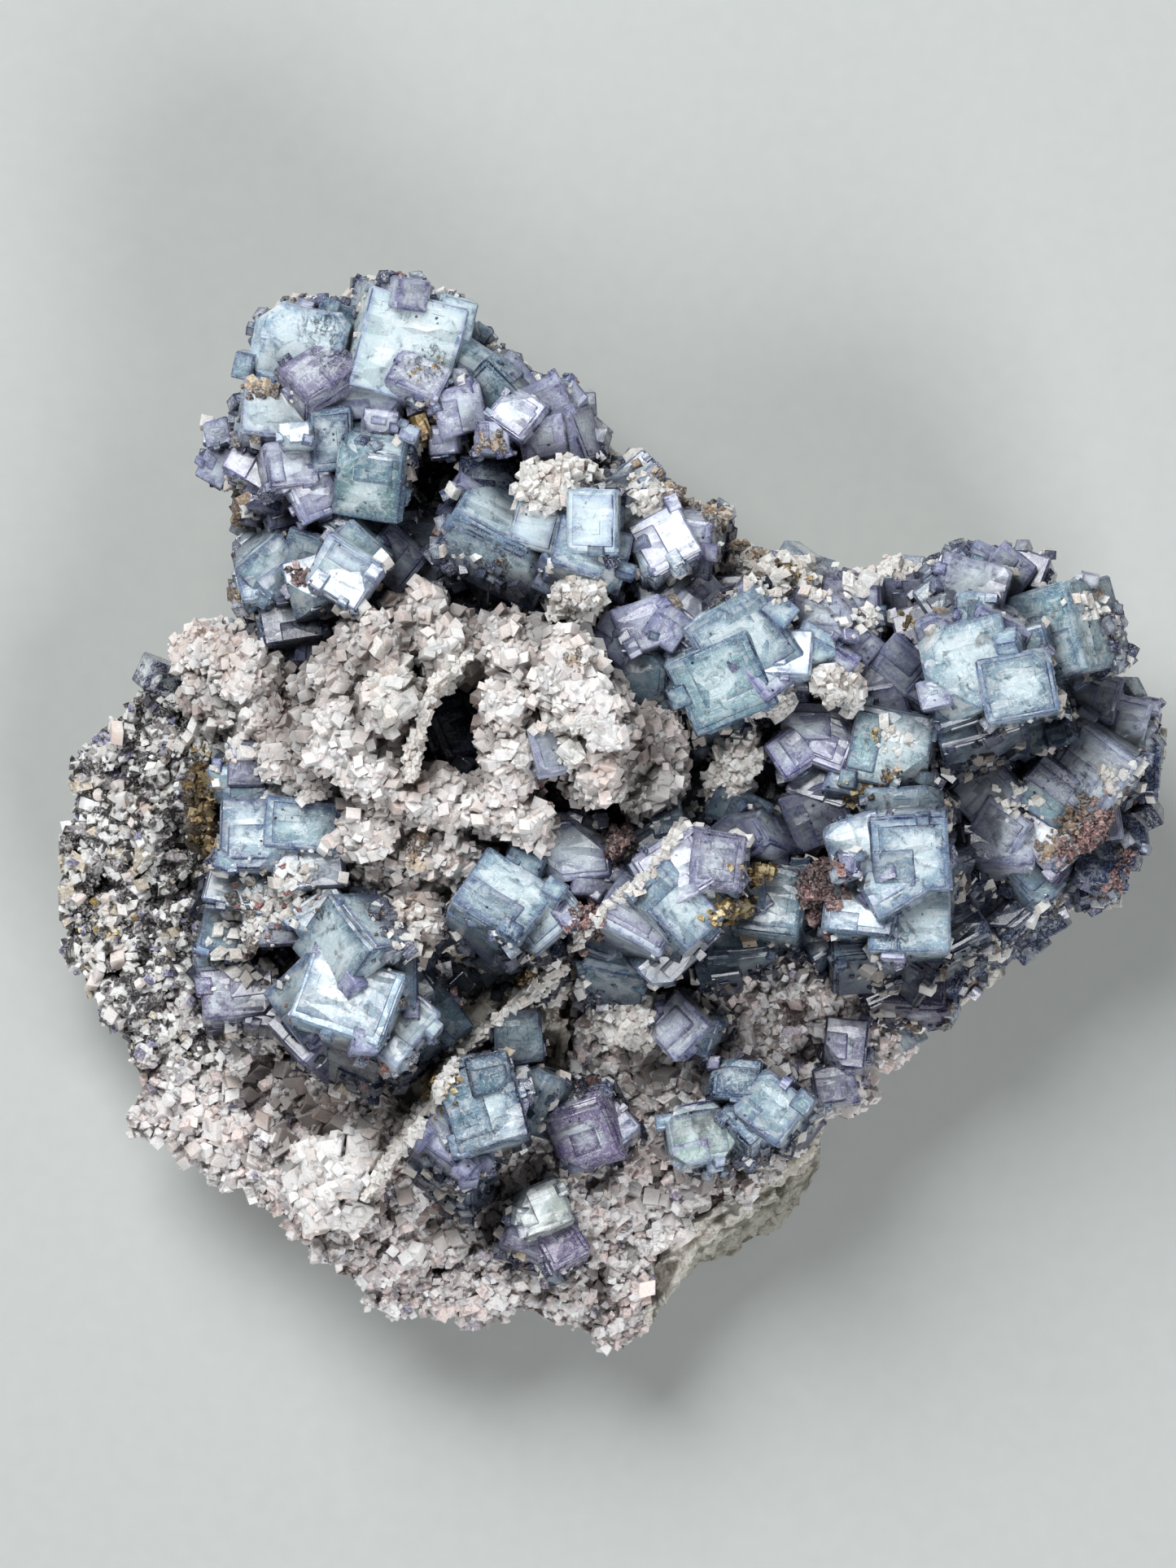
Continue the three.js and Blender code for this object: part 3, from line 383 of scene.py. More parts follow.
def run_tree(carrier, tree, **values):
    """Sets the tree's inputs by their identifiers and gives the result as a plain mesh object."""
    modifier = carrier.modifiers.new(tree.name, "NODES")
    modifier.node_group = tree
    for item in tree.interface.items_tree:
        if item.in_out == "INPUT" and item.name in values:
            modifier[item.identifier] = values[item.name]
    return made_plain(carrier)


def made_plain(carrier):
    """The evaluated result of an object's modifiers as a plain mesh object of the same name."""
    name, base = carrier.name, carrier.data
    graph = bpy.context.evaluated_depsgraph_get()
    mesh = bpy.data.meshes.new_from_object(carrier.evaluated_get(graph), depsgraph=graph)
    bpy.data.objects.remove(carrier)
    bpy.data.meshes.remove(base)
    mesh.name = name
    return placed(name, mesh)


def keep_inside(piece):
    """No point leaves the box of the specimen."""
    points = vertex_rows(piece.data)
    np.clip(points, np.array(CAD_LOW), np.array(CAD_HIGH), out=points)
    piece.data.vertices.foreach_set("co", points.ravel())
    piece.data.update()


def hand_over(piece, replaces=None):
    """Rides a piece on the specimen's body, in place of its solid where it has one."""
    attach(piece, "root")
    if replaces:
        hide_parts(replaces)
    return piece


print("largest size of the specimen:", round(max(h - l for l, h in zip(CAD_LOW, CAD_HIGH)) / MM, 1), "mm")

# %% [markdown]
# A fluorite crystal is a cube, but not a plain one. Its faces carry raised plates with square corners, a
# picture frame of growth steps runs inside the edges, small cubes sit on its edges, and some corners have
# broken off along the cleavage. Each of these is a block with narrow chamfered edges, and a break cuts the
# plates too. Sculpting would soften them, and a bump would vanish in the outline, so the blocks are real
# and are united afterwards.

# %% One chamfered block
# The bevel of the plain cube, from -1 to 1, and what counts as inside of it
BEVEL_START = 0.2
INNER_PART = 0.9
SAME_PLACE = 1e-5
# Size of the faces that a side is divided in, so that it can wave
FINE_CELL = 1.7
COARSE_CELL = 2.6
# Length and depth of the waves in a face
LONG_WAVE = (7.0, 0.35)
SHORT_WAVE = (1.9, 0.05)


def cut(bm, point, normal, take_off=False):
    """Cuts all faces of an edit mesh along a plane, and may take off what lies beyond it."""
    everything = bm.verts[:] + bm.edges[:] + bm.faces[:]
    made = bmesh.ops.bisect_plane(
        bm, geom=everything, plane_co=point, plane_no=normal, clear_outer=take_off, dist=SAME_PLACE)
    if take_off:
        rim = [part for part in made["geom_cut"] if isinstance(part, bmesh.types.BMEdge)]
        bmesh.ops.edgeloop_fill(bm, edges=rim)


def block_mesh(half, chamfer, place, breaks=(), cell=FINE_CELL):
    """A block in millimetres with chamfered edges and slightly wavy faces. Each break is a plane."""
    bm = bmesh.new()
    bmesh.ops.create_cube(bm, size=2.0)
    bmesh.ops.bevel(bm, geom=bm.edges[:], offset=BEVEL_START, segments=1, profile=0.5, affect="EDGES")
    for vert in bm.verts:
        for axis in range(3):
            side = math.copysign(1, vert.co[axis])
            inset = 0 if abs(vert.co[axis]) > INNER_PART else chamfer
            vert.co[axis] = side * (half[axis] - inset)
    for point, normal in breaks:
        cut(bm, point, normal, take_off=True)
    for axis in range(3):
        normal = Vector([float(axis == other) for other in range(3)])
        count = int(2 * half[axis] / cell)
        for number in range(1, count):
            cut(bm, normal * (2 * number / count - 1) * half[axis], normal)
    bm.transform(place)
    for vert in bm.verts:
        waves = [noise.noise_vector(vert.co / length) * depth for length, depth in (LONG_WAVE, SHORT_WAVE)]
        vert.co += waves[0] + waves[1]
    bmesh.ops.recalc_face_normals(bm, faces=bm.faces[:])
    return mesh_from(bm, "block")


# %% The blocks of one crystal
CHAMFER = 0.3
CHAMFER_SHARE = 0.12
SMALLEST_CUBE = 0.55
TOP_CORNERS = ((1, 1, 1), (1, -1, 1), (-1, 1, 1), (-1, -1, 1))
SHOWN_FACES = ((2, 1), (0, 1), (0, -1), (1, 1), (1, -1))
# A corner breaks by chance, so deep as a share of the smallest half size
BREAK_CHANCE = 0.35
SMALL_BREAK = (0.06, 0.2)
LARGE_BREAK = (0.2, 0.75)
# A frame of growth stands proud of the face of a large crystal, a little inside its edges
FRAME_FROM = 2.5
FRAME_CHANCE = 0.4
FRAME_STEP = (0.07, 0.16)
FRAME_INSET = (0.3, 0.9)
# A plate covers a part of the face
PLATE_CHANCE = 0.7
PLATE_STEP = (0.06, 0.30)
PLATE_SPAN = (0.6, 1.7)
PLATE_INSET = 0.12
# Small cubes on the upper edges, most of them nearly straight
EDGE_CUBES = (3, 4, 5)
STRAIGHT_CHANCE = 0.6


def crystal_place(x, y, above, turn, lean, toward):
    """Turn in the plane of the face, then lean, then move to the rock surface."""
    aim = math.radians(toward + 90)
    place = Matrix.Translation((x, y, rock_height(x, y) + above))
    place = place @ Matrix.Rotation(aim, 4, "Z") @ Matrix.Rotation(math.radians(lean), 4, "X")
    return place @ Matrix.Rotation(math.radians(turn) - aim, 4, "Z")


def raised_plate(half, axis, side, dice, framed):
    """The middle and half sizes of a block that stands a little proud of one face."""
    middle = [0.0, 0.0, 0.0]
    size = [0.0, 0.0, 0.0]
    step = dice.uniform(*(FRAME_STEP if framed else PLATE_STEP))
    size[axis] = (half[axis] + step) / 2
    middle[axis] = side * size[axis]
    for other in range(3):
        if other == axis:
            continue
        if framed:
            low = -half[other] + dice.uniform(*FRAME_INSET)
            high = half[other] - dice.uniform(*FRAME_INSET)
        else:
            span = half[other] * dice.uniform(*PLATE_SPAN)
            farthest = max(0.2, 2 * half[other] - span - 0.1)
            low = -half[other] + dice.choice([PLATE_INSET, dice.uniform(PLATE_INSET, farthest)])
            high = min(low + span, half[other] - PLATE_INSET)
        size[other] = max(0.2, (high - low) / 2)
        middle[other] = (low + high) / 2
    return middle, size


def break_plane(half, signs, size):
    """The plane that breaks off the corner or edge named by its signs, so far below it."""
    normal = Vector(signs).normalized()
    return Vector([s * h for s, h in zip(signs, half)]) - normal * size, normal


def small_turn(dice, spread):
    """A chance turn about all three axes."""
    return Euler([dice.gauss(0, spread) for _ in range(3)]).to_matrix().to_4x4()


def crystal_blocks(row, dice):
    """All blocks of one crystal: (place, half sizes, look, breaks, how strong its edge lines are)."""
    x, y, above, width, length, depth, turn, lean, toward, look, *broken = row
    half = (width / 2, length / 2, depth / 2)
    place = crystal_place(x, y, above, turn, lean, toward)
    breaks = [break_plane(half, signs, size) for signs, size in broken]
    for signs in TOP_CORNERS:
        if not broken and dice.random() < BREAK_CHANCE:
            share = dice.choice([dice.uniform(*SMALL_BREAK), dice.uniform(*LARGE_BREAK)])
            breaks.append(break_plane(half, signs, min(half) * share))
    blocks = [(place, half, look, breaks, dice.uniform(0.3, 1.0))]

    def stand_proud(axis, side, framed, faintest, strongest):
        middle, size = raised_plate(half, axis, side, dice, framed)
        moved = [(point - Vector(middle), normal) for point, normal in breaks]
        strength = dice.uniform(faintest, strongest)
        blocks.append((place @ Matrix.Translation(middle), size, look, moved, strength))

    for axis, side in SHOWN_FACES:
        if min(half) > FRAME_FROM and dice.random() < FRAME_CHANCE:
            stand_proud(axis, side, True, 0.6, 1.0)
        if dice.random() < PLATE_CHANCE:
            stand_proud(axis, side, False, 0.0, 0.6)
    for _ in range(dice.choice(EDGE_CUBES)):
        edge = dice.choice([0, 1])
        edge_length = max(SMALLEST_CUBE, dice.uniform(0.05, 0.17) * min(width, length))
        size = [edge_length * dice.uniform(0.8, 1.25) for _ in range(3)]
        spot = [dice.uniform(-1, 1) * reach for reach in half[:2]] + [half[2] - dice.uniform(0.2, 3.0)]
        spot[edge] = dice.choice([-1, 1]) * (half[edge] - edge_length * dice.uniform(0.0, 0.8))
        turned = small_turn(dice, 0.04 if dice.random() < STRAIGHT_CHANCE else 0.3)
        small_look = dice.choice([look, look, look, "v", "s"])
        stood = place @ Matrix.Translation(spot) @ turned
        blocks.append((stood, size, small_look, [], dice.uniform(0.3, 0.9)))
    return blocks


print("blocks of the first crystal:", len(crystal_blocks(CRYSTALS["upper_lobe"][0], random.Random(1))))

# %% [markdown]
# The blocks of a cluster have to become one closed body, with a crisp line where two crystals meet. The
# Mesh Boolean node unites a whole collection at once, and it keeps a face attribute, so each face still
# knows its block. From that, the attributes for the finish are written: the place inside the block from -1
# to 1, the block's half sizes, its colours, its clearness and how strong its edge lines are.

# %% A tree that unites a collection


def unite_tree():
    """Collection in, one closed mesh out."""
    tree, start = new_tree("unite_blocks", Blocks="Collection")
    gather = add_node(tree, "GeometryNodeCollectionInfo", {
        "Collection": start["Blocks"], "Separate Children": True})
    unite = add_node(tree, "GeometryNodeMeshBoolean", operation="UNION", solver="MANIFOLD")
    tree.links.new(gather.outputs[0], unite.inputs["Mesh 2"])
    realize = add_node(tree, "GeometryNodeRealizeInstances", {"Geometry": unite.outputs[0]})
    add_node(tree, "NodeGroupOutput", {"Geometry": realize.outputs["Geometry"]})
    return tree


UNITE = unite_tree()


def united(name, meshes):
    """One closed piece from block meshes that overlap, still in millimetres."""
    heap = bpy.data.collections.new("blocks")
    for mesh in meshes:
        heap.objects.link(bpy.data.objects.new("block", mesh))
    piece = run_tree(placed(name, bpy.data.meshes.new(name)), UNITE, Blocks=heap)
    for made in list(heap.objects):
        bpy.data.meshes.remove(made.data)
    bpy.data.collections.remove(heap)
    return piece


def into_frame(piece):
    """From millimetres on the face to metres in the frame."""
    piece.data.transform(Matrix.Scale(MM, 4) @ Matrix.Translation((*FRAME_SHIFT, 0)))


print("nodes that unite:", len(UNITE.nodes))

# %% The attributes that the finish reads
# How far one block's colours and clearness lie from its look
SHADE_SPREAD = (0.86, 1.12)
HUE_SPREAD = (0.96, 1.04)
RIM_SPREAD = (0.8, 1.2)
CLEAR_SPREAD = (0.6, 1.3)
GRAIN_PATCH_MM = 6


def write_block_attributes(mesh, blocks, dice):
    """Writes local, half, heart, rim, lines and clear from the block that each face came from."""
    source = np.empty(len(mesh.polygons), dtype=np.int32)
    mesh.attributes["block"].data.foreach_get("value", source)
    sides = np.empty(len(mesh.polygons), dtype=np.int32)
    mesh.polygons.foreach_get("loop_total", sides)
    corner_block = np.repeat(source, sides)
    points = np.c_[vertex_rows(mesh), np.ones(len(mesh.vertices))]
    inverse = np.array([np.array(block[0].inverted()) for block in blocks])
    halves = np.array([block[1] for block in blocks])
    local = np.einsum("nij,nj->ni", inverse[corner_block], points[corner_vertices(mesh)])[:, :3]
    hearts, rims, clears = [], [], []
    for block in blocks:
        heart, rim, clear = LOOKS[block[2]]
        shade = dice.uniform(*SHADE_SPREAD)
        hearts.append([c * shade * dice.uniform(*HUE_SPREAD) for c in linear(*heart)] + [1.0])
        rims.append([c * dice.uniform(*RIM_SPREAD) for c in linear(*rim)] + [1.0])
        clears.append(clear * dice.uniform(*CLEAR_SPREAD))
    write_layer(mesh, "local", "FLOAT_VECTOR", "CORNER", local / halves[corner_block])
    for name, kind, values in (
            ("half", "FLOAT_VECTOR", halves), ("heart", "FLOAT_COLOR", hearts), ("rim", "FLOAT_COLOR", rims),
            ("lines", "FLOAT", [block[4] for block in blocks]), ("clear", "FLOAT", clears)):
        write_layer(mesh, name, kind, "FACE", np.array(values)[source])


def write_cover(mesh):
    """How likely small grains sit at each vertex: in patches, and down the sides more than on top."""
    local = np.empty(len(mesh.loops) * 3, dtype=np.float32)
    mesh.attributes["local"].data.foreach_get("vector", local)
    depth = np.full(len(mesh.vertices), -2.0)
    np.maximum.at(depth, corner_vertices(mesh), local.reshape(-1, 3)[:, 2])
    patch = np.array([noise.noise(vert.co / (GRAIN_PATCH_MM * MM)) for vert in mesh.vertices])
    cover = np.clip((0.75 - depth) * 0.8, 0, 1) * np.clip(patch * 3 + 0.6, 0, 1)
    write_layer(mesh, "cover", "FLOAT", "POINT", cover)


# %% One cluster of grown-together crystals


def fluorite_cluster(name, rows, seed):
    """Makes the blocks of every crystal, unites them and writes the attributes."""
    dice = random.Random(seed)
    blocks = [block for row in rows for block in crystal_blocks(row, dice)]
    meshes = []
    for number, (place, half, look, breaks, lines) in enumerate(blocks):
        cell = FINE_CELL if number % 4 == 0 else COARSE_CELL
        mesh = block_mesh(half, min(CHAMFER, min(half) * CHAMFER_SHARE), place, breaks, cell)
        write_layer(mesh, "block", "INT", "FACE", [number] * len(mesh.polygons))
        meshes.append(mesh)
    piece = united(name, meshes)
    write_block_attributes(piece.data, blocks, dice)
    into_frame(piece)
    keep_inside(piece)
    write_cover(piece.data)
    return piece


PIECES = {}
for seed, (cluster, rows) in enumerate(CRYSTALS.items()):
    piece = fluorite_cluster(cluster + "_crystals", rows, 100 + seed)
    PIECES[cluster] = hand_over(piece, cluster + "_fluorite")
print("cluster triangles:", sum(len(p.data.loops) - 2 * len(p.data.polygons) for p in PIECES.values()))

# %% [markdown]
# The dolomite is different: thousands of small slanting rhombs, sugary to the eye. It could be a noisy
# surface, but then its grains would have no faces to catch the light. So a lumpy body is made first, and a
# tree of Geometry Nodes covers it with rhombs that stand out along the surface at random turns.

# %% The stamps: a rhomb and a cube
RHOMB_SLANT = 0.28


def sheared(shear):
    """The slant of a rhomb along the first axis, and a little less along the second."""
    return Matrix(((1, shear, 0, 0), (0, 1, shear * 0.8, 0), (0, 0, 1, 0), (0, 0, 0, 1)))


def stamp(name, shear, chamfer):
    """A small block from -1 to 1 whose vertices keep their own place in an attribute."""
    bm = bmesh.new()
    bmesh.ops.create_cube(bm, size=2.0)
    if chamfer:
        bmesh.ops.bevel(bm, geom=bm.edges[:], offset=chamfer, segments=1, profile=0.5, affect="EDGES")
    places = [vert.co.copy() for vert in bm.verts]
    bm.transform(sheared(shear))
    mesh = mesh_from(bm, name)
    write_layer(mesh, "local", "FLOAT_VECTOR", "POINT", places)
    return bpy.data.objects.new(name, mesh)


RHOMB = stamp("rhomb", RHOMB_SLANT, 0)
BIG_RHOMB = stamp("big_rhomb", RHOMB_SLANT, 0.12)
CUBE = stamp("cube", 0, 0)
BIG_CUBE = stamp("big_cube", 0, 0.1)
print("stamps:", [made.name for made in (RHOMB, BIG_RHOMB, CUBE, BIG_CUBE)])

# %% A tree that covers a body with small crystals
# Crystals on a square metre at most, before those that stand too close are left out
DENSEST = 4e6
# The power that makes small crystals common and large ones rare
MOSTLY_SMALL = 2.2
CHANCE_SEED = 77


def cover_tree():
    """Geometry in; the same geometry with crystals on its surface out."""
    tree, start = new_tree(
        "cover_with_crystals", Geometry="Geometry", Stamp="Object", Spacing="Float", Smallest="Float",
        Largest="Float", Seed="Int", Wildness="Float", Keep_Body="Bool", Finish="Material")
    covered = add_node(tree, "GeometryNodeInputNamedAttribute", {"Name": "cover"}, data_type="FLOAT")
    dots = add_node(tree, "GeometryNodeDistributePointsOnFaces", {
        "Mesh": start["Geometry"], "Distance Min": start["Spacing"], "Density Max": DENSEST,
        "Density Factor": covered.outputs["Attribute"], "Seed": start["Seed"]}, distribute_method="POISSON")
    spin = add_node(tree, "FunctionNodeRandomValue", {
        "Min": (-1, -1, -3.14), "Max": (1, 1, 3.14), "Seed": start["Seed"]}, data_type="FLOAT_VECTOR")
    tilt = add_node(tree, "ShaderNodeCombineXYZ", {"X": start["Wildness"], "Y": start["Wildness"], "Z": 1.0})
    wild = add_node(tree, "ShaderNodeVectorMath", {0: spin.outputs["Value"], 1: tilt.outputs[0]},
                    operation="MULTIPLY")
    to_turn = add_node(tree, "FunctionNodeEulerToRotation", {0: wild.outputs[0]})
    both = add_node(tree, "FunctionNodeRotateRotation", {
        "Rotation": dots.outputs["Rotation"], "Rotate By": to_turn.outputs[0]}, rotation_space="LOCAL")
    chance = add_node(tree, "FunctionNodeRandomValue", {"Seed": start["Seed"]}, data_type="FLOAT")
    biased = add_node(tree, "ShaderNodeMath", {0: chance.outputs[1], 1: MOSTLY_SMALL}, operation="POWER")
    size = add_node(tree, "ShaderNodeMapRange", {
        "Value": biased.outputs[0], "To Min": start["Smallest"], "To Max": start["Largest"]})
    shape = add_node(tree, "FunctionNodeRandomValue", {
        "Min": (0.8, 0.8, 0.7), "Max": (1.2, 1.1, 1.1)}, data_type="FLOAT_VECTOR")
    half = add_node(tree, "ShaderNodeVectorMath", {0: shape.outputs["Value"], "Scale": size.outputs[0]},
                    operation="SCALE")
    model = add_node(tree, "GeometryNodeObjectInfo", {"Object": start["Stamp"]})
    put = add_node(tree, "GeometryNodeInstanceOnPoints", {
        "Points": dots.outputs["Points"], "Instance": model.outputs["Geometry"], "Rotation": both.outputs[0],
        "Scale": half.outputs[0]})
    scale_now = add_node(tree, "GeometryNodeInputInstanceScale")
    in_mm = add_node(tree, "ShaderNodeVectorMath", {0: scale_now.outputs[0], "Scale": 1 / MM},
                     operation="SCALE")
    other = add_node(tree, "FunctionNodeRandomValue", {"Seed": CHANCE_SEED}, data_type="FLOAT")
    kept = put
    for name, kind, value in (
            ("half", "FLOAT_VECTOR", in_mm.outputs[0]), ("chance", "FLOAT", other.outputs[1])):
        kept = add_node(tree, "GeometryNodeStoreNamedAttribute", {
            "Geometry": kept.outputs[0], "Name": name, "Value": value}, data_type=kind, domain="INSTANCE")
    body = add_node(tree, "GeometryNodeSwitch", {"Switch": start["Keep_Body"], "True": start["Geometry"]},
                    input_type="GEOMETRY")
    join = tree.nodes.new("GeometryNodeJoinGeometry")
    for part in (kept, body):
        tree.links.new(part.outputs[0], join.inputs[0])
    realize = add_node(tree, "GeometryNodeRealizeInstances", {0: join.outputs[0]})
    finished = add_node(tree, "GeometryNodeSetMaterial", {
        "Geometry": realize.outputs[0], "Material": start["Finish"]})
    add_node(tree, "NodeGroupOutput", {0: finished.outputs[0]})
    return tree


COVER = cover_tree()


def covered_with(body, stamped, spacing, sizes, seed, finish, wildness=0.5, keep_body=True):
    """Covers a body with crystals and gives one plain mesh back. Spacing and sizes are in millimetres."""
    smallest, largest = sizes
    piece = run_tree(
        body, COVER, Stamp=stamped, Spacing=spacing * MM, Smallest=smallest * MM / 2,
        Largest=largest * MM / 2, Seed=seed, Wildness=wildness, Keep_Body=keep_body, Finish=finish)
    keep_inside(piece)
    return piece


print("nodes that cover:", len(COVER.nodes))

# %% A lumpy body
# The size of the finer noise as a share of the coarse one, and the height and slope of a broken crest
FINER = 0.4
CREST = 0.3
CREST_SLOPE = 1.7


def rough_skin(body, voxel, roughness, grain=2.4, broken=False):
    """Remeshes a body evenly and roughens it. A broken one has sharp crests and flat hollows."""
    remesh = body.modifiers.new("remesh", "REMESH")
    remesh.mode = "VOXEL"
    remesh.voxel_size = voxel * MM
    body = made_plain(body)
    mesh = body.data
    points = vertex_rows(mesh)
    normals = vertex_rows(mesh, "normal")
    coarse, fine = (
        np.array([noise.noise(Vector(p) / (size * MM)) for p in points]) for size in (grain, grain * FINER))
    push = coarse + 0.5 * fine
    if broken:
        push = CREST - CREST_SLOPE * np.abs(push)
    points += normals * (push * roughness * MM)[:, None]
    mesh.vertices.foreach_set("co", points.ravel())
    mesh.update()
    write_layer(mesh, "dent", "FLOAT", "POINT", push)
    write_layer(mesh, "cover", "FLOAT", "POINT", np.clip(normals[:, 2] * 2.5 + 0.7, 0, 1))
    return body


def lumpy_body(name, lumps, voxel, roughness, shrink):
    """Rough balls joined by a voxel remesh, then pushed in and out by a fine noise. Millimetres."""
    bm = bmesh.new()
    for x, y, above, *half in lumps:
        place = Matrix.Translation(to_frame(x, y, rock_height(x, y) + above))
        size = Matrix.Diagonal([(h - shrink) * MM for h in half] + [1])
        bmesh.ops.create_icosphere(bm, subdivisions=3, radius=1.0, matrix=place @ size)
    return rough_skin(placed(name, mesh_from(bm, name)), voxel, roughness)


# %% [markdown]
# Finishes are built from nodes, and a few helpers keep each finish readable. A signal is the output of a
# node that can be added, multiplied or turned into a soft step. A finish reads attributes and noises as
# signals, and lays one colour over another where a signal is strong.

# %% Helpers for finishes


class Signal:
    """The output of a node, with the sums that a finish needs."""

    def __init__(self, tree, socket):
        self.tree = tree
        self.socket = socket

    def node(self, kind, inputs, output=0, **settings):
        return Signal(self.tree, add_node(self.tree, kind, inputs, **settings).outputs[output])

    def math(self, operation, other=0.0):
        return self.node("ShaderNodeMath", {0: self, 1: other}, operation=operation)

    def __add__(self, other):
        return self.math("ADD", other)

    def __sub__(self, other):
        return self.math("SUBTRACT", other)

    def __rsub__(self, other):
        return self.node("ShaderNodeMath", {0: other, 1: self}, operation="SUBTRACT")

    def __mul__(self, other):
        return self.math("MULTIPLY", other)

    def step(self, low, high):
        """0 at low and 1 at high, smooth between; low may be above high."""
        inputs = {"Value": self, "From Min": low, "From Max": high}
        return self.node("ShaderNodeMapRange", inputs, interpolation_type="SMOOTHSTEP")

    def vector(self, operation, other=None, output=0):
        """A sum of two directions or places."""
        inputs = {0: self}
        if other is not None:
            inputs["Scale" if operation == "SCALE" else 1] = other
        return self.node("ShaderNodeVectorMath", inputs, output, operation=operation)

    def parts(self):
        """The three numbers of a place."""
        split = add_node(self.tree, "ShaderNodeSeparateXYZ", {0: self})
        return [Signal(self.tree, socket) for socket in split.outputs]


def full(colour):
    """A screen colour as a socket takes it; a signal stays as it is."""
    return colour if isinstance(colour, Signal) else (*linear(*colour), 1)


class Finish:
    """A material with one shader, and the place on the object in millimetres."""

    def __init__(self, name):
        self.material = bpy.data.materials.new(name)
        self.material.use_nodes = True
        self.tree = self.material.node_tree
        self.shader = self.tree.nodes["Principled BSDF"]
        self.place = self.signal(self.tree.nodes.new("ShaderNodeTexCoord").outputs["Object"])
        self.place = self.place.vector("SCALE", 1 / MM)

    def signal(self, socket):
        return Signal(self.tree, socket)

    def read(self, name, output="Fac"):
        node = add_node(self.tree, "ShaderNodeAttribute", attribute_name=name)
        return self.signal(node.outputs[output])

    def clouds(self, scale, detail=3.0, distortion=0.0, place=None):
        """Noise in spots per millimetre."""
        node = add_node(self.tree, "ShaderNodeTexNoise", {
            "Vector": place or self.place, "Scale": scale, "Detail": detail, "Distortion": distortion})
        return self.signal(node.outputs[0])

    def cells(self, scale, place=None):
        """Cells per millimetre: the distance to the middle, a colour and the middle's place."""
        node = add_node(self.tree, "ShaderNodeTexVoronoi", {"Vector": place or self.place, "Scale": scale})
        return [self.signal(node.outputs[name]) for name in ("Distance", "Color", "Position")]

    def chipped(self, chips, place=None):
        """The height of a surface broken into small flat chips, each leaning its own way."""
        _, colour, middle = chips
        offset = (place or self.place).vector("SUBTRACT", middle)
        lean = colour.vector("SUBTRACT", (0.5, 0.5, 0.5))
        return offset.vector("DOT_PRODUCT", lean, "Value")

    def ramp(self, factor, stops, interpolation="LINEAR"):
        """Picks a screen colour by where a signal lies."""
        node = add_node(self.tree, "ShaderNodeValToRGB", {0: factor})
        elements = node.color_ramp.elements
        node.color_ramp.interpolation = interpolation
        while len(elements) < len(stops):
            elements.new(0.5)
        for element, (position, colour) in zip(elements, stops):
            element.position = position
            element.color = full(colour)
        return self.signal(node.outputs[0])

    def mix(self, factor, first, second):
        """The first colour where the factor is 0, and the second where it is 1."""
        inputs = {0: factor, 6: full(first), 7: full(second)}
        return self.signal(add_node(self.tree, "ShaderNodeMix", inputs, data_type="RGBA").outputs[2])

    def layer(self, colour, signal, low, high, strength, over):
        """Lays another colour over this one, where the signal goes from low to high."""
        return self.mix(signal.step(low, high) * strength, colour, over)

    def shade_in_the_gaps(self, colour, strength, dark):
        """Paints shade, and the dust and dark ore that gather there, over what lies deep under the peaks
        around it.
        """
        return self.layer(colour, self.read("sunk"), 0.0, 1.0, strength, dark)

    def relief(self, height, depth):
        """A bump of a depth in millimetres."""
        inputs = {"Distance": depth * MM, "Strength": 1.0, "Height": height}
        bump = add_node(self.tree, "ShaderNodeBump", inputs)
        self.tree.links.new(bump.outputs[0], self.shader.inputs["Normal"])

    def shade(self, sockets):
        """Feeds the shader's sockets."""
        for name, value in sockets.items():
            feed(self.tree, self.shader.inputs[name], value)


print("helpers of a finish:", [name for name in vars(Finish) if not name.startswith("_")])

# %% [markdown]
# Porcelain fluorite is milky inside and glassy outside. Several things give it away: thin dark violet lines
# along every edge, growth rings that run parallel to them, pale cleavage feathers and, in a few crystals,
# dark inclusions. The distance to the nearest edge comes from the block attributes: of the three distances
# to the block's sides, the middle one is the way to the edge, because the smallest is the face itself.

# %% The fluorite finish
FLUORITE_INDEX = 1.434
# x, y and radius of the dark inclusions that show in single crystals, in millimetres
INCLUSIONS = [
    (-35.4, 60.6, 3.0), (-34.2, 56.8, 2.4), (-22.2, 56.0, 2.4), (-38.6, -7.6, 3.6), (-35, -10.4, 2.4),
    (-32.6, -22, 1.3), (32.4, 10.4, 1.3), (39.4, 11.2, 1.1), (-14.4, 31.4, 2.8), (-12.6, -13.4, 1.8),
    (43.4, 16.6, 1.2), (-16.4, -38.6, 2.2), (-42.4, 37.6, 2.2), (57, 5, 2.2), (34.6, -14.6, 2.4),
]


def inclusions(paint):
    """How near a place is to one of the inclusions, seen from above, with a ragged border."""
    flat = paint.place.vector("MULTIPLY", (1, 1, 0))
    ragged = (paint.clouds(0.9, 2.0) - 0.5) * 4.0
    nearest = None
    for x, y, radius in INCLUSIONS:
        middle = (x + FRAME_SHIFT[0], y + FRAME_SHIFT[1], 0)
        near = (flat.vector("DISTANCE", middle, "Value") - radius + ragged).step(0.6, -1.2)
        nearest = nearest.math("MAXIMUM", near) if nearest else near
    drawn = paint.clouds(1.0, 4.0, 1.6, paint.place.vector("MULTIPLY", (1.2, 0.7, 1.0)))
    return nearest * drawn.step(0.46, 0.62)


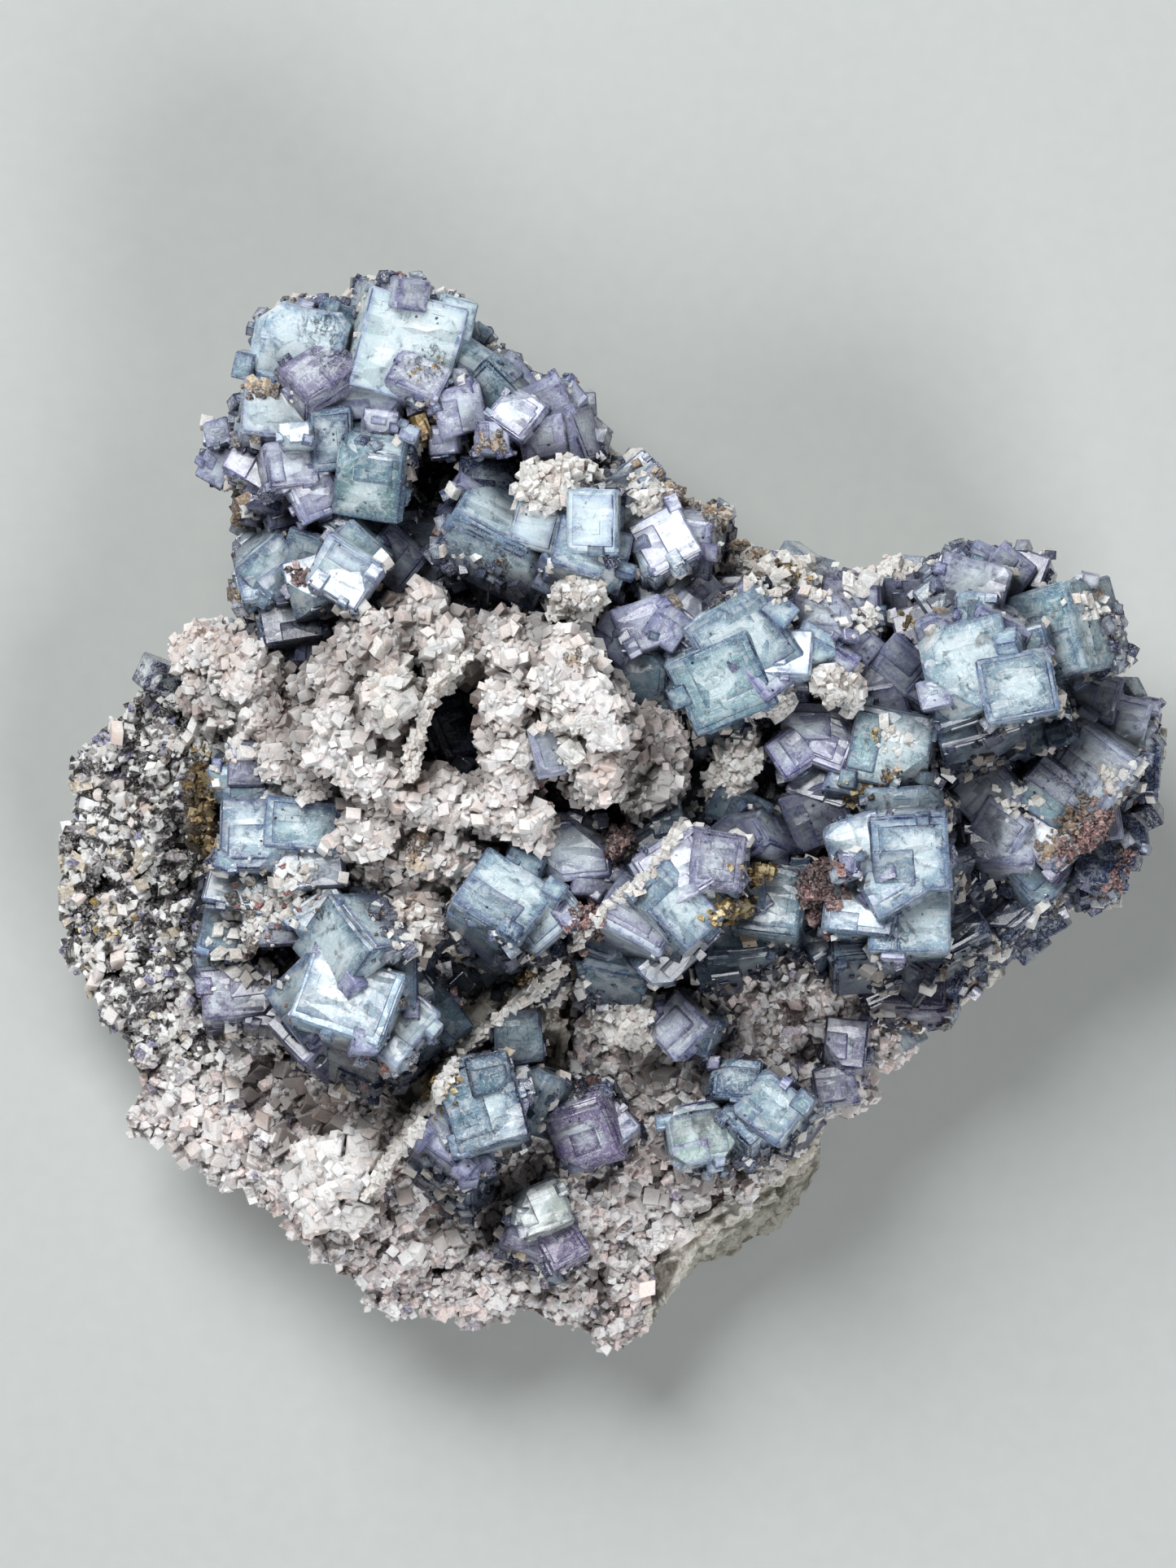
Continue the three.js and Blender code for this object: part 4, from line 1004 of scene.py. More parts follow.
def zone_colours(paint, by_chance):
    """The heart, the rim, the clearness and how strong the edge lines are."""
    if not by_chance:
        colours = [paint.read(name, "Color") for name in ("heart", "rim")]
        return *colours, paint.read("clear"), paint.read("lines")
    chance = paint.read("chance")
    heart = paint.ramp(chance, [
        (0.0, (84, 94, 120)), (0.24, (178, 196, 206)), (0.5, (140, 142, 170)), (0.62, (54, 58, 78)),
        (0.76, (208, 214, 224)), (0.92, (104, 92, 88))], "CONSTANT")
    rim = paint.ramp(chance, [(0.0, (80, 84, 122)), (1.0, (60, 58, 100))])
    return heart, rim, chance * 0.2, 0.4


def fluorite_finish(name, by_chance=False):
    """Fluorite whose colours come from its attributes, or by chance for the smallest cubes."""
    paint = Finish(name)
    heart, rim, clear, lines = zone_colours(paint, by_chance)

    # The way to the nearest side and to the nearest edge
    half = paint.read("half", "Vector")
    local = paint.read("local", "Vector")
    within = local.vector("MULTIPLY", half)
    x, y, z = half.vector("SUBTRACT", within.vector("ABSOLUTE")).parts()
    least = x.math("MINIMUM", y).math("MINIMUM", z)
    most = x.math("MAXIMUM", y).math("MAXIMUM", z)
    edge = x + y + z - least - most

    # Noises: veils and patches in the milk, scratches along two directions, and cleavage flakes
    veil = paint.clouds(0.6, 4.0, 1.0)
    fine = paint.clouds(5.0, 4.0)
    patches = paint.clouds(0.34, 2.0)
    along = paint.clouds(1.0, 3.0, 0.4, within.vector("MULTIPLY", (0.5, 5.0, 5.0)))
    across = paint.clouds(1.0, 3.0, 0.4, within.vector("MULTIPLY", (5.0, 0.5, 5.0)))
    streak = along.math("MAXIMUM", across)
    stretched = within.vector("MULTIPLY", (0.3, 1.0, 0.7))
    flakes = paint.cells(1.0, stretched)
    flake = flakes[1]
    wavy_edge = edge + (veil - 0.5) * 1.2
    true_edge = edge + (fine - 0.5) * 0.06

    # The milk starts below the faces, with wisps, feathers and smudges in it
    inward = edge + (paint.clouds(0.20) - 0.5) * 7.0 + (veil - 0.5) * 3.0
    milky = inward.step(0.8, 3.2) * 0.75
    shadowed = paint.mix(0.5, heart.vector("SCALE", 0.35), (44, 66, 92))
    feather = flake.step(0.62, 0.66) * veil.step(0.44, 0.52)
    colour = paint.mix(milky, heart, (218, 233, 236))
    colour = paint.layer(colour, veil, 0.46, 0.30, 0.6, shadowed)
    colour = paint.layer(colour, paint.clouds(1.1, 4.0, 2.2), 0.52, 0.60, 0.6, (238, 244, 247))
    colour = paint.mix(feather * 0.5, colour, (236, 243, 246))
    colour = paint.layer(colour, flake, 0.36, 0.33, 0.25, shadowed)
    colour = paint.layer(colour, paint.clouds(0.17, 4.0, 1.4), 0.63, 0.72, 0.6, (70, 66, 68))
    colour = paint.layer(colour, wavy_edge, 1.1, 0.1, 0.45, rim)
    colour = paint.layer(colour, streak, 0.60, 0.70, 0.25, (238, 243, 246))
    colour = paint.layer(colour, streak, 0.48, 0.40, 0.2, rim)
    if not by_chance:
        # Painted shade: the lower part and sides of each block darken toward its rim colour.
        colour = paint.layer(colour, local.parts()[2], 0.6, -0.8, 0.6, rim.vector("SCALE", 0.6))
        colour = paint.mix(inclusions(paint) * 0.75, colour, (40, 58, 68))

    # Dark lines on the edges, growth rings inside them, specks, and painted white glints in flecks and on
    # the breaks
    line = true_edge.step(0.30, 0.16) * (patches.step(0.36, 0.5) * lines)
    colour = paint.mix(line * 0.9, colour, rim.vector("SCALE", 0.25))
    rings = (true_edge * 0.62).math("FRACT")
    ring = rings.step(0.07, 0.04) * patches.step(0.52, 0.6) * wavy_edge.step(5.0, 1.0)
    colour = paint.mix(ring * 0.7, colour, rim.vector("SCALE", 0.4))
    speck = paint.cells(0.75)[0] + fine * 0.3
    colour = paint.mix(speck.step(0.34, 0.24) * patches.step(0.52, 0.6) * 0.9, colour, (26, 32, 40))
    # Painted glints: white in small flecks of a noise, and on broken faces, which lie far from the block's
    # sides.
    white = paint.clouds(2.6, 4.0, 2.4).step(0.60, 0.66).math("MAXIMUM", least.step(0.6, 0.9))
    colour = paint.mix(white * 0.7, colour, (240, 244, 246))
    # Painted shade in the gaps, darkest deep under the peaks around.
    if by_chance:
        colour = paint.shade_in_the_gaps(colour, 0.88, (14, 18, 34))
    else:
        colour = paint.shade_in_the_gaps(colour, 0.8, (18, 22, 44))
    paint.shade({
        "Base Color": colour, "Roughness": veil * 0.14 + 0.03, "IOR": FLUORITE_INDEX,
        "Specular IOR Level": 0.7, "Coat Weight": 0.25, "Coat Roughness": 0.04,
        "Subsurface Weight": 0.0 if by_chance else 0.5, "Subsurface Radius": (0.9, 1.1, 1.2),
        "Subsurface Scale": 1.3 * MM, "Transmission Weight": clear * (1.0 - milky)})
    paint.relief((streak * 0.35 + fine * 0.4) * 0.05 + paint.chipped(flakes, stretched) * 0.4, 1.0)
    return paint.material


def wear(piece, material):
    """Puts a finish on a piece, in place of any other."""
    piece.data.materials.clear()
    piece.data.materials.append(material)


FLUORITE = fluorite_finish("fluorite")
DRUSE = fluorite_finish("small_fluorite", by_chance=True)
for piece in PIECES.values():
    wear(piece, FLUORITE)
print("fluorite finish nodes:", len(FLUORITE.node_tree.nodes))

# %% [markdown]
# Dolomite is a soft pinkish white with pearly faces. Each rhomb carries a chance number from the covering
# tree, so some are white, some grey and some pink, and the body under them is darker, painted shade as in a
# gap.
# The same function makes the crust, the ore and the red and brown grains, with other colours to pick from.

# %% The dolomite, crust, ore and rock finishes


def grain_finish(name, stops, body, roughness, metallic=0.0, glow=0.45, rust=None, pepper=None, gaps=0.65):
    """Grains coloured by chance over a body colour of painted shade. Pepper is a second set of colours for
    the upper left.
    """
    paint = Finish(name)
    chance = paint.read("chance")
    fine = paint.clouds(3.2)
    picked = paint.ramp(chance, stops, "CONSTANT")
    if pepper:
        x, y, _ = paint.place.parts()
        ragged = (paint.clouds(0.1, 4.0) - 0.5) * 44.0
        peppered = (x + ragged).step(-38.0, -46.0) * (y + ragged).step(-36.0, -24.0)
        picked = paint.mix(peppered, picked, paint.ramp(chance, pepper, "CONSTANT"))
        body = paint.mix(peppered, body, (24, 21, 24))
    # Where no grain lies, the darker body colour shows: painted shade between the grains.
    colour = paint.mix(chance.step(0.0, 0.002), body, picked)
    # Painted highlights in near-white fine flecks, and in other fine flecks a darkening toward the body's
    # painted shade.
    colour = paint.layer(colour, fine, 0.42, 0.66, 0.35, (255, 253, 249))
    colour = paint.layer(colour, fine, 0.46, 0.3, 0.3, body)
    if rust:
        colour = paint.layer(colour, paint.clouds(0.12), 0.52, 0.68, 0.45, rust)
    if pepper:
        # Painted shade of hollows: dark patches where a slow noise is low, stronger in the peppered upper
        # left.
        hollow = paint.clouds(0.42, 4.0, 0.6).step(0.47, 0.38) * (peppered * 0.4 + 0.55)
        colour = paint.mix(hollow, colour, (30, 26, 32))
    # The base colour gets painted shade in the gaps between the grains.
    paint.shade({
        "Base Color": paint.shade_in_the_gaps(colour, gaps, (44, 35, 34)), "Roughness": fine * 0.2 + roughness,
        "Metallic": metallic, "Specular IOR Level": 0.8, "Subsurface Weight": glow,
        "Subsurface Radius": (1.0, 0.8, 0.7), "Subsurface Scale": 1.2 * MM})
    paint.relief(fine + paint.clouds(9.0), 0.10)
    return paint.material


PINK = grain_finish("pink_dolomite", [
    (0.0, (247, 238, 234)), (0.3, (252, 248, 245)), (0.55, (245, 230, 223)), (0.75, (236, 230, 227)),
    (0.9, (253, 251, 249))], (208, 186, 178), 0.14, rust=(210, 178, 164))
WHITE = grain_finish("white_dolomite", [
    (0.0, (242, 237, 230)), (0.35, (230, 222, 214)), (0.6, (250, 247, 242)), (0.85, (216, 202, 194))],
    (170, 156, 146), 0.16, gaps=0.15)
CRUST = grain_finish("sugary_crust", [
    (0.0, (236, 228, 225)), (0.3, (247, 243, 241)), (0.52, (232, 211, 206)), (0.74, (214, 207, 207)),
    (0.92, (168, 158, 170)), (0.95, (116, 110, 136)), (0.97, (250, 248, 246))],
    (136, 122, 122), 0.14, gaps=0.0, pepper=[
        (0.0, (236, 234, 230)), (0.24, (150, 144, 148)), (0.36, (246, 243, 237)), (0.56, (206, 192, 170)),
        (0.63, (62, 56, 62)), (0.76, (24, 21, 24)), (0.88, (98, 96, 136)), (0.93, (250, 248, 245))])
PYRITE = grain_finish("pyrite", [
    (0.0, (148, 116, 54)), (0.3, (82, 62, 32)), (0.5, (186, 154, 84)), (0.78, (222, 202, 146))],
    (84, 64, 34), 0.25, metallic=0.6, glow=0.0)
RED = grain_finish("red_grains", [
    (0.0, (92, 36, 40)), (0.35, (60, 24, 28)), (0.6, (130, 78, 74)), (0.85, (176, 140, 132))],
    (44, 20, 22), 0.3, glow=0.05)
BROWN = grain_finish("brown_grains", [
    (0.0, (124, 94, 66)), (0.3, (80, 62, 50)), (0.5, (162, 134, 102)), (0.7, (196, 176, 150)),
    (0.85, (52, 42, 38))], (84, 68, 56), 0.3, glow=0.1)


def rock_finish():
    """Broken rock: painted light on crests, painted shade in dents, dark cracks, and greener painted shade
    below.
    """
    paint = Finish("matrix_rock")
    middle = paint.clouds(0.5, 6.0, 0.4)
    fine = paint.clouds(3.0, 6.0)
    to_middle, shade, _ = paint.cells(1.6)
    dent = paint.read("dent")
    colour = paint.mix(paint.clouds(0.06, 4.0).step(0.4, 0.62), (204, 199, 186), (244, 240, 228))
    colour = paint.layer(colour, middle, 0.5, 0.6, 0.8, (248, 245, 236))
    colour = paint.layer(colour, middle, 0.46, 0.3, 0.7, (84, 78, 70))
    # Painted shade in the dents and painted light on the crests, from the dent value of the roughened skin.
    colour = paint.layer(colour, dent, -0.04, -0.36, 0.9, (70, 64, 56))
    colour = paint.layer(colour, dent, 0.0, 0.26, 0.6, (250, 247, 240))
    speckle = paint.ramp(shade, [(0.0, (90, 84, 74)), (0.4, (160, 152, 136)), (0.75, (214, 208, 196))])
    colour = paint.mix(0.25, colour, speckle)
    colour = paint.layer(colour, paint.cells(0.35)[0], 0.62, 0.78, 0.7, (62, 56, 50))
    colour = paint.layer(colour, paint.clouds(0.18, 3.0, 0.5), 0.56, 0.7, 0.5, (126, 92, 66))
    # Painted shade: lower down, the rock turns a darker olive grey.
    level = paint.place.parts()[2] + (middle - 0.5) * 16.0
    colour = paint.layer(colour, level, 18.0, 8.0, 0.6, (104, 102, 86))
    paint.shade({"Base Color": colour, "Roughness": fine * 0.25 + 0.7})
    chips = paint.chipped(paint.cells(0.45)) + paint.chipped(paint.cells(1.4)) * 0.8
    paint.relief((fine + to_middle * 0.2) * 0.4 + chips * 1.1, 1.0)
    return paint.material


ROCK = rock_finish()
print("finishes:", [m.name for m in bpy.data.materials])

# %% [markdown]
# Now the dolomite pieces. Each one is a few lumps, the same as in the solid, with rhombs over it. The arch
# in the middle gets two coats, large rhombs first and sugar after, because its crystals are the biggest.

# %% Dolomite, pyrite and red grains: where their lumps are
# x, y, height over the rock, three half sizes
LUMPS = {
    "dolomite_arch": [
        (-33, 10.6, 5, 4.6, 5.2, 9), (-33.2, 16.4, 5, 4.2, 4.6, 9), (-28.8, 21, 6, 4.8, 4.4, 10),
        (-24, 24.6, 6, 4.8, 4.2, 9), (-27.2, 15, 8, 3, 5.6, 9), (-29, 5.4, 5, 5, 4.2, 8),
        (-19, 21, 8, 5, 3.4, 9), (-12, 20.6, 7, 4.6, 4.2, 10), (-5.4, 18.4, 8, 4.6, 4.6, 10),
        (-1.4, 12.8, 8, 4, 4.6, 10), (-12.4, 13.4, 8, 3, 5.6, 9), (-12.2, 7, 6, 3.2, 3.8, 9),
        (-1.6, 6.6, 7, 4.2, 4.6, 9), (4.8, 9.6, 6, 4.6, 4.2, 6), (5.2, 4.2, 6, 4.6, 4, 6),
        (-23, 2.2, 6, 6.4, 3.4, 8), (-13.6, 2.2, 7, 5.6, 3.4, 8), (-9.4, -0.6, 6, 3.6, 3, 7),
        (-30, -1, 5, 5, 4.4, 8), (-27.4, -5.8, 4, 4.8, 4, 7), (-19.6, -5, 4, 5.4, 4, 7),
        (-23.8, -11.6, 4.4, 3.8, 4.6, 6)],
    "pink_dolomite": [
        (-49, 20.4, 5, 4.4, 4, 6), (-45, 18.4, 6, 5, 4.6, 7), (-48, 15.6, 4, 4.6, 4.6, 6),
        (-42, 12.8, 4, 5, 5.2, 7), (-39.6, 7.6, 4, 5.4, 5.6, 7), (-37, 3.8, 4, 4.8, 4.2, 6)],
    "dolomite_tuft_1": [(-7.6, 40.6, 7, 4.2, 3.6, 5), (-4.4, 41.4, 5, 3.2, 3.2, 5)],
    "dolomite_tuft_2": [(21.8, 29.6, 5, 3.8, 3.4, 6), (17.6, 31.2, 3, 2.4, 2.2, 5)],
    "dolomite_tuft_3": [(27.8, 16.6, 8, 3.4, 3.2, 5)],
    "dolomite_tuft_4": [(3.0, -24.2, 4, 5.2, 3.6, 6)],
    "pyrite_1": [(-50.6, 4, 3, 2.8, 3.6, 4.5), (-50.2, -0.8, 3, 2.6, 3.8, 4.5)],
    "pyrite_2": [(-23.2, 48, 4, 2.2, 2.6, 5)],
    "pyrite_3": [(-20.8, -32.4, 4, 3.4, 2.2, 5)],
    "red_patch_1": [(25.4, -8.8, 5, 3.4, 4.4, 6)],
    "red_patch_2": [(-2.6, -12.4, 8, 2.8, 2.8, 6)],
    "red_patch_3": [(58.8, -1.0, 6, 2.8, 3.0, 6)],
}
# Small lumps that sit on the crystals and have no solid of their own
SMALL_TUFTS = [
    (4.2, 38.8, 6, 2.8, 3.2, 5), (7.2, 39.4, 3, 2.4, 2.2, 5), (19.8, 14.8, 6, 3, 2.2, 5),
    (15.6, 8.2, 3, 2.8, 4.4, 6), (14.6, 4.4, 3, 3.2, 3, 6), (-3.6, 27.4, 6, 4, 2.8, 6),
    (34.6, 28.8, 2, 3.2, 3, 6),
]
SMALL_PYRITE = [
    (-9.8, -19.8, 3, 2, 1.8, 5), (15.4, -10.2, 8, 2.8, 2, 5), (18.2, -6.6, 8, 2.4, 1.8, 5),
    (-48.8, -3.8, 3, 2, 2, 4),
]
SMALL_RED = [(1.4, -2.8, 7, 2.4, 2.6, 6), (60.2, 0.6, 6, 2.4, 2.2, 6)]
print("pieces made of lumps:", len(LUMPS) + 3)

# %% Grow the lumps
LUMP_CELL = 0.55
# Rhombs from this size on are chamfered
LARGE_RHOMB = 1.4
# Kind: finish, slot, and one or more coats of spacing with the smallest and largest size
KINDS = {
    "dolomite_arch": (PINK, "pink_dolomite", ((2.1, (1.6, 4.0)), (0.95, (0.5, 1.7)))),
    "pink_dolomite": (PINK, "pink_dolomite", ((1.6, (1.3, 3.0)), (0.8, (0.45, 1.3)))),
    "dolomite_tuft": (WHITE, "white_dolomite", ((1.6, (1.3, 3.0)), (0.8, (0.45, 1.3)))),
    "pyrite": (PYRITE, "pyrite", ((0.8, (0.5, 1.8)),)),
    "red_patch": (RED, "red_grains", ((0.7, (0.4, 1.2)),)),
}


def grown_lumps(name, lumps, finish, seed, coats, shrink=0.7):
    """A lumpy body with its coats of crystals: cubes for pyrite, rhombs for all others."""
    body = lumpy_body(name, lumps, LUMP_CELL, 0.8, shrink)
    for number, (spacing, sizes) in enumerate(coats):
        rhomb = BIG_RHOMB if sizes[0] > LARGE_RHOMB else RHOMB
        shape = CUBE if finish is PYRITE else rhomb
        body = covered_with(body, shape, spacing, sizes, seed + number, finish, 0.5 + 0.25 * number)
    return body


for seed, (node, lumps) in enumerate(LUMPS.items()):
    finish, slot, coats = next(row for kind, row in KINDS.items() if node.startswith(kind))
    shrink = 0.6 if finish is RED else 0.9
    piece = grown_lumps(node + "_grains", lumps, finish, 300 + 10 * seed, coats, shrink)
    PIECES[node] = hand_over(piece, node)
for name, lumps, finish, slot, coats in (
        ("small_tufts", SMALL_TUFTS, WHITE, "white_dolomite", ((1.3, (1.0, 2.3)), (0.75, (0.4, 1.2)))),
        ("small_pyrite", SMALL_PYRITE, PYRITE, "pyrite", ((0.75, (0.4, 1.4)),)),
        ("small_red_grains", SMALL_RED, RED, "red_grains", ((0.75, (0.4, 1.4)),))):
    PIECES[name] = hand_over(grown_lumps(name, lumps, finish, 500, coats))
print("arch faces:", len(PIECES["dolomite_arch"].data.polygons))

# %% [markdown]
# The biggest rhombs, at the lower left, are placed one by one as they are in the solid, united, and dusted
# with small ones. The white blade is a row of thin plates on edge along its path, each a little out of
# line.

# %% Big rhombs and the white blade
# x, y, height, edge, turn, lean and its direction
RHOMBS = [
    (-35.4, -42.0, 4, 5.0, 12, 20, 250), (-37.2, -45.4, 3, 4.6, 30, 25, 200),
    (-33.0, -44.4, 4, 4.6, -8, 20, 300), (-35.6, -48.2, 3, 5.0, 20, 20, 260),
    (-32.4, -49.0, 2, 4.2, -25, 20, 300), (-30.6, -41.2, 3, 4.2, 8, 15, 90),
]
# Points of each stretch: x, y and height over the rock
VEINS = {
    "white_vein_1": [(-6.4, -18.2, 5), (-9.4, -21, 4.4), (-12, -23.2, 4)],
    "white_vein_2": [(-15.4, -26, 4), (-18.2, -28.4, 4), (-20.4, -31.6, 4)],
    "white_vein_3": [(-22.4, -34.8, 5), (-25, -39, 3.6), (-27.4, -42.4, 2.8), (-30.2, -47, 2)],
}
ARCH_BLADE = [(-24.6, 5.4, 12), (-23.2, 12.5, 13), (-21.6, 16, 13.5), (-18, 19.1, 13.5)]
RHOMB_SHEAR = sheared(0.25)
BLADE_EVERY = 1.1
BLADE_SWAY = 0.12
BLADE_DEPTH = 3.2


def rhomb_blocks(dice):
    """A sheared block for each rhomb, with a few smaller ones grown out of it."""
    blocks = []
    for x, y, above, edge, turn, lean, toward in RHOMBS:
        place = crystal_place(x, y, above, turn, lean, toward) @ RHOMB_SHEAR
        blocks.append(block_mesh([edge / 2] * 3, 0.2, place))
        for _ in range(5):
            spot = Matrix.Translation([dice.uniform(-0.5, 0.5) * edge for _ in range(3)])
            turned = small_turn(dice, 0.15)
            blocks.append(block_mesh([dice.uniform(0.6, 1.3)] * 3, 0.1, place @ spot @ turned))
    return blocks


def blade_blocks(route, dice):
    """Thin plates on edge along a route."""
    blocks = []
    for (x0, y0, h0), (x1, y1, h1) in zip(route, route[1:]):
        length = math.hypot(x1 - x0, y1 - y0)
        along = math.atan2(y1 - y0, x1 - x0)
        count = round(length / BLADE_EVERY)
        for number in range(count):
            t = (number + dice.uniform(0.2, 0.8)) / count
            x = x0 + (x1 - x0) * t + dice.gauss(0, BLADE_SWAY)
            y = y0 + (y1 - y0) * t + dice.gauss(0, BLADE_SWAY)
            z = rock_height(x, y) + h0 + (h1 - h0) * t + dice.uniform(-0.6, 0.6)
            turned = Matrix.Rotation(along + dice.gauss(0, BLADE_SWAY), 4, "Z")
            leant = Matrix.Rotation(dice.gauss(0, BLADE_SWAY), 4, "X")
            half = (dice.uniform(0.9, 1.6), dice.uniform(0.35, 0.6), BLADE_DEPTH)
            blocks.append(block_mesh(half, 0.08, Matrix.Translation((x, y, z)) @ turned @ leant))
    return blocks


def dusted(name, meshes, spacing, sizes, seed, finish):
    """Unites blocks and covers them with small rhombs of the same finish."""
    piece = united(name, meshes)
    into_frame(piece)
    corners = len(piece.data.vertices)
    write_layer(piece.data, "cover", "FLOAT", "POINT", [1.0] * corners)
    write_layer(piece.data, "chance", "FLOAT", "POINT", [0.4] * corners)
    return covered_with(piece, RHOMB, spacing, sizes, seed, finish, 0.6)


piece = dusted("rhomb_cluster_grains", rhomb_blocks(random.Random(41)), 1.3, (0.5, 1.4), 42, PINK)
hand_over(piece, "rhomb_cluster")
piece = dusted("arch_blade", blade_blocks(ARCH_BLADE, random.Random(45)), 0.8, (0.4, 1.1), 46, WHITE)
PIECES["arch_blade"] = hand_over(piece)
for node, route in VEINS.items():
    piece = dusted(node + "_plates", blade_blocks(route, random.Random(43)), 1.0, (0.4, 1.0), 44, WHITE)
    hand_over(piece, node)
print("blade faces:", len(piece.data.polygons))

# %% [markdown]
# The crust and the rock start from their solids, because their outlines were measured there. A copy of each
# is merged, remeshed evenly and roughened: the rock gets sharp crests and flat dents, and the crust gets
# pits where a slow noise is low. The crust then gets two coats of grains in patches, and the rock's upper
# face gets a coat of small fluorite cubes, so that no bare rock shows between the large crystals.

# %% Crust, rock and the small cubes between the crystals
PATCH_MM = 3.6
SKIN_CELL = 0.8
SKIN_ROUGHNESS = 1.9
PIT_LEVEL = 0.16
BARE_BELOW_Y = -22
RIGHT_SIDE_X = 34
RIGHT_BARE_BELOW_Y = -27


def body_from_node(node, name):
    """A merged copy of a solid of the frame."""
    source = frame["nodes"][node]
    bm = bmesh.new()
    bm.from_mesh(source.data)
    bm.transform(source.matrix_world)
    bmesh.ops.remove_doubles(bm, verts=bm.verts[:], dist=0.001 * MM)
    return placed(name, mesh_from(bm, name))


def dig_pits(body, across, depth):
    """Sinks the body where a slow noise is low, so that dark pits stay between the lumps. Millimetres."""
    for vert in body.data.vertices:
        low = -noise.noise(vert.co / (PATCH_MM * MM)) - PIT_LEVEL
        if low > 0 and vert.normal.z > 0.2:
            vert.co.z -= min(low * across, 1) * depth * MM


def cover_by_place(body, rule):
    """Sets how thickly each point is covered, by a rule of x, y, the upward normal and a slow noise."""
    points = vertex_rows(body.data) / MM
    patch = np.array([noise.noise(Vector(point) / PATCH_MM) for point in points])
    cover = rule(points[:, 0], points[:, 1], vertex_rows(body.data, "normal")[:, 2], patch)
    write_layer(body.data, "cover", "FLOAT", "POINT", np.clip(cover, 0, 1))


def crust_rule(x, y, up, patch):
    """Everywhere but on the undersides, in patches."""
    return (up * 2.5 + 0.6) * (patch * 3 + 0.8)


def druse_rule(x, y, up, patch):
    """On what faces up, above a line across the specimen that runs lower at the right."""
    upper = (y > BARE_BELOW_Y) | ((x > RIGHT_SIDE_X) & (y > RIGHT_BARE_BELOW_Y))
    return (up - 0.35) * 4 * upper


crust = rough_skin(body_from_node("dolomite_crust", "crust_grains"), SKIN_CELL, SKIN_ROUGHNESS, 4.5)
dig_pits(crust, 3.2, 2.6)
cover_by_place(crust, crust_rule)
crust = covered_with(crust, RHOMB, 1.4, (0.9, 2.4), 60, CRUST, 0.7)
sugar = placed("crust_sugar", crust.data.copy())
sugar = covered_with(sugar, RHOMB, 0.78, (0.4, 1.3), 61, CRUST, 0.9, keep_body=False)
hand_over(sugar)
hand_over(crust, "dolomite_crust")

rock = rough_skin(body_from_node("matrix_rock", "rock"), SKIN_CELL, SKIN_ROUGHNESS, 5.2, broken=True)
wear(rock, ROCK)
keep_inside(rock)
hand_over(rock, "matrix_rock")

ground = placed("druse", rock.data.copy())
cover_by_place(ground, druse_rule)
druse = covered_with(ground, BIG_CUBE, 1.9, (1.4, 4.6), 71, DRUSE, 0.45, keep_body=False)
hand_over(druse)
print("crust, rock and druse faces:", [len(piece.data.polygons) for piece in (crust, rock, druse)])

# %% [markdown]
# The large crystals are not clean either. Small cubes, white dolomite grains and dark ore sit in patches
# down their sides and in the gaps. A copy of all clusters serves as the ground for them and is dropped
# afterwards.

# %% Grains in the gaps between the crystals
GRIT = grain_finish("gap_grains", [
    (0.0, (244, 240, 234)), (0.4, (222, 212, 204)), (0.62, (250, 250, 248)), (0.76, (92, 74, 52)),
    (0.84, (40, 36, 36)), (0.92, (122, 60, 58)), (0.96, (196, 176, 150))], (120, 110, 104), 0.3)
for name, stamped, spacing, sizes, seed, finish, slot in (
        ("gap_cubes", CUBE, 0.9, (0.5, 1.9), 81, DRUSE, "violet_fluorite"),
        ("gap_grains", RHOMB, 1.1, (0.4, 1.7), 82, GRIT, "white_dolomite")):
    bm = bmesh.new()
    for cluster in CRYSTALS:
        bm.from_mesh(PIECES[cluster].data)
    ground = placed(name, mesh_from(bm, name))
    grains = covered_with(ground, stamped, spacing, sizes, seed, finish, keep_body=False)
    hand_over(grains)
    print(name, "faces:", len(grains.data.polygons))

# %% [markdown]
# Some grains lie in places that catch the eye: a white line that crosses the middle, tan and red grains at
# the right, brown crystals along the left edge. Each spot says where and how wide, and a ray dropped from
# above finds whatever is there to rest on. That way a grain never floats and never drowns. The loose rhombs
# land on the crust alone.

# %% Grains that are dropped on their spots
DROP_HEIGHT = 90
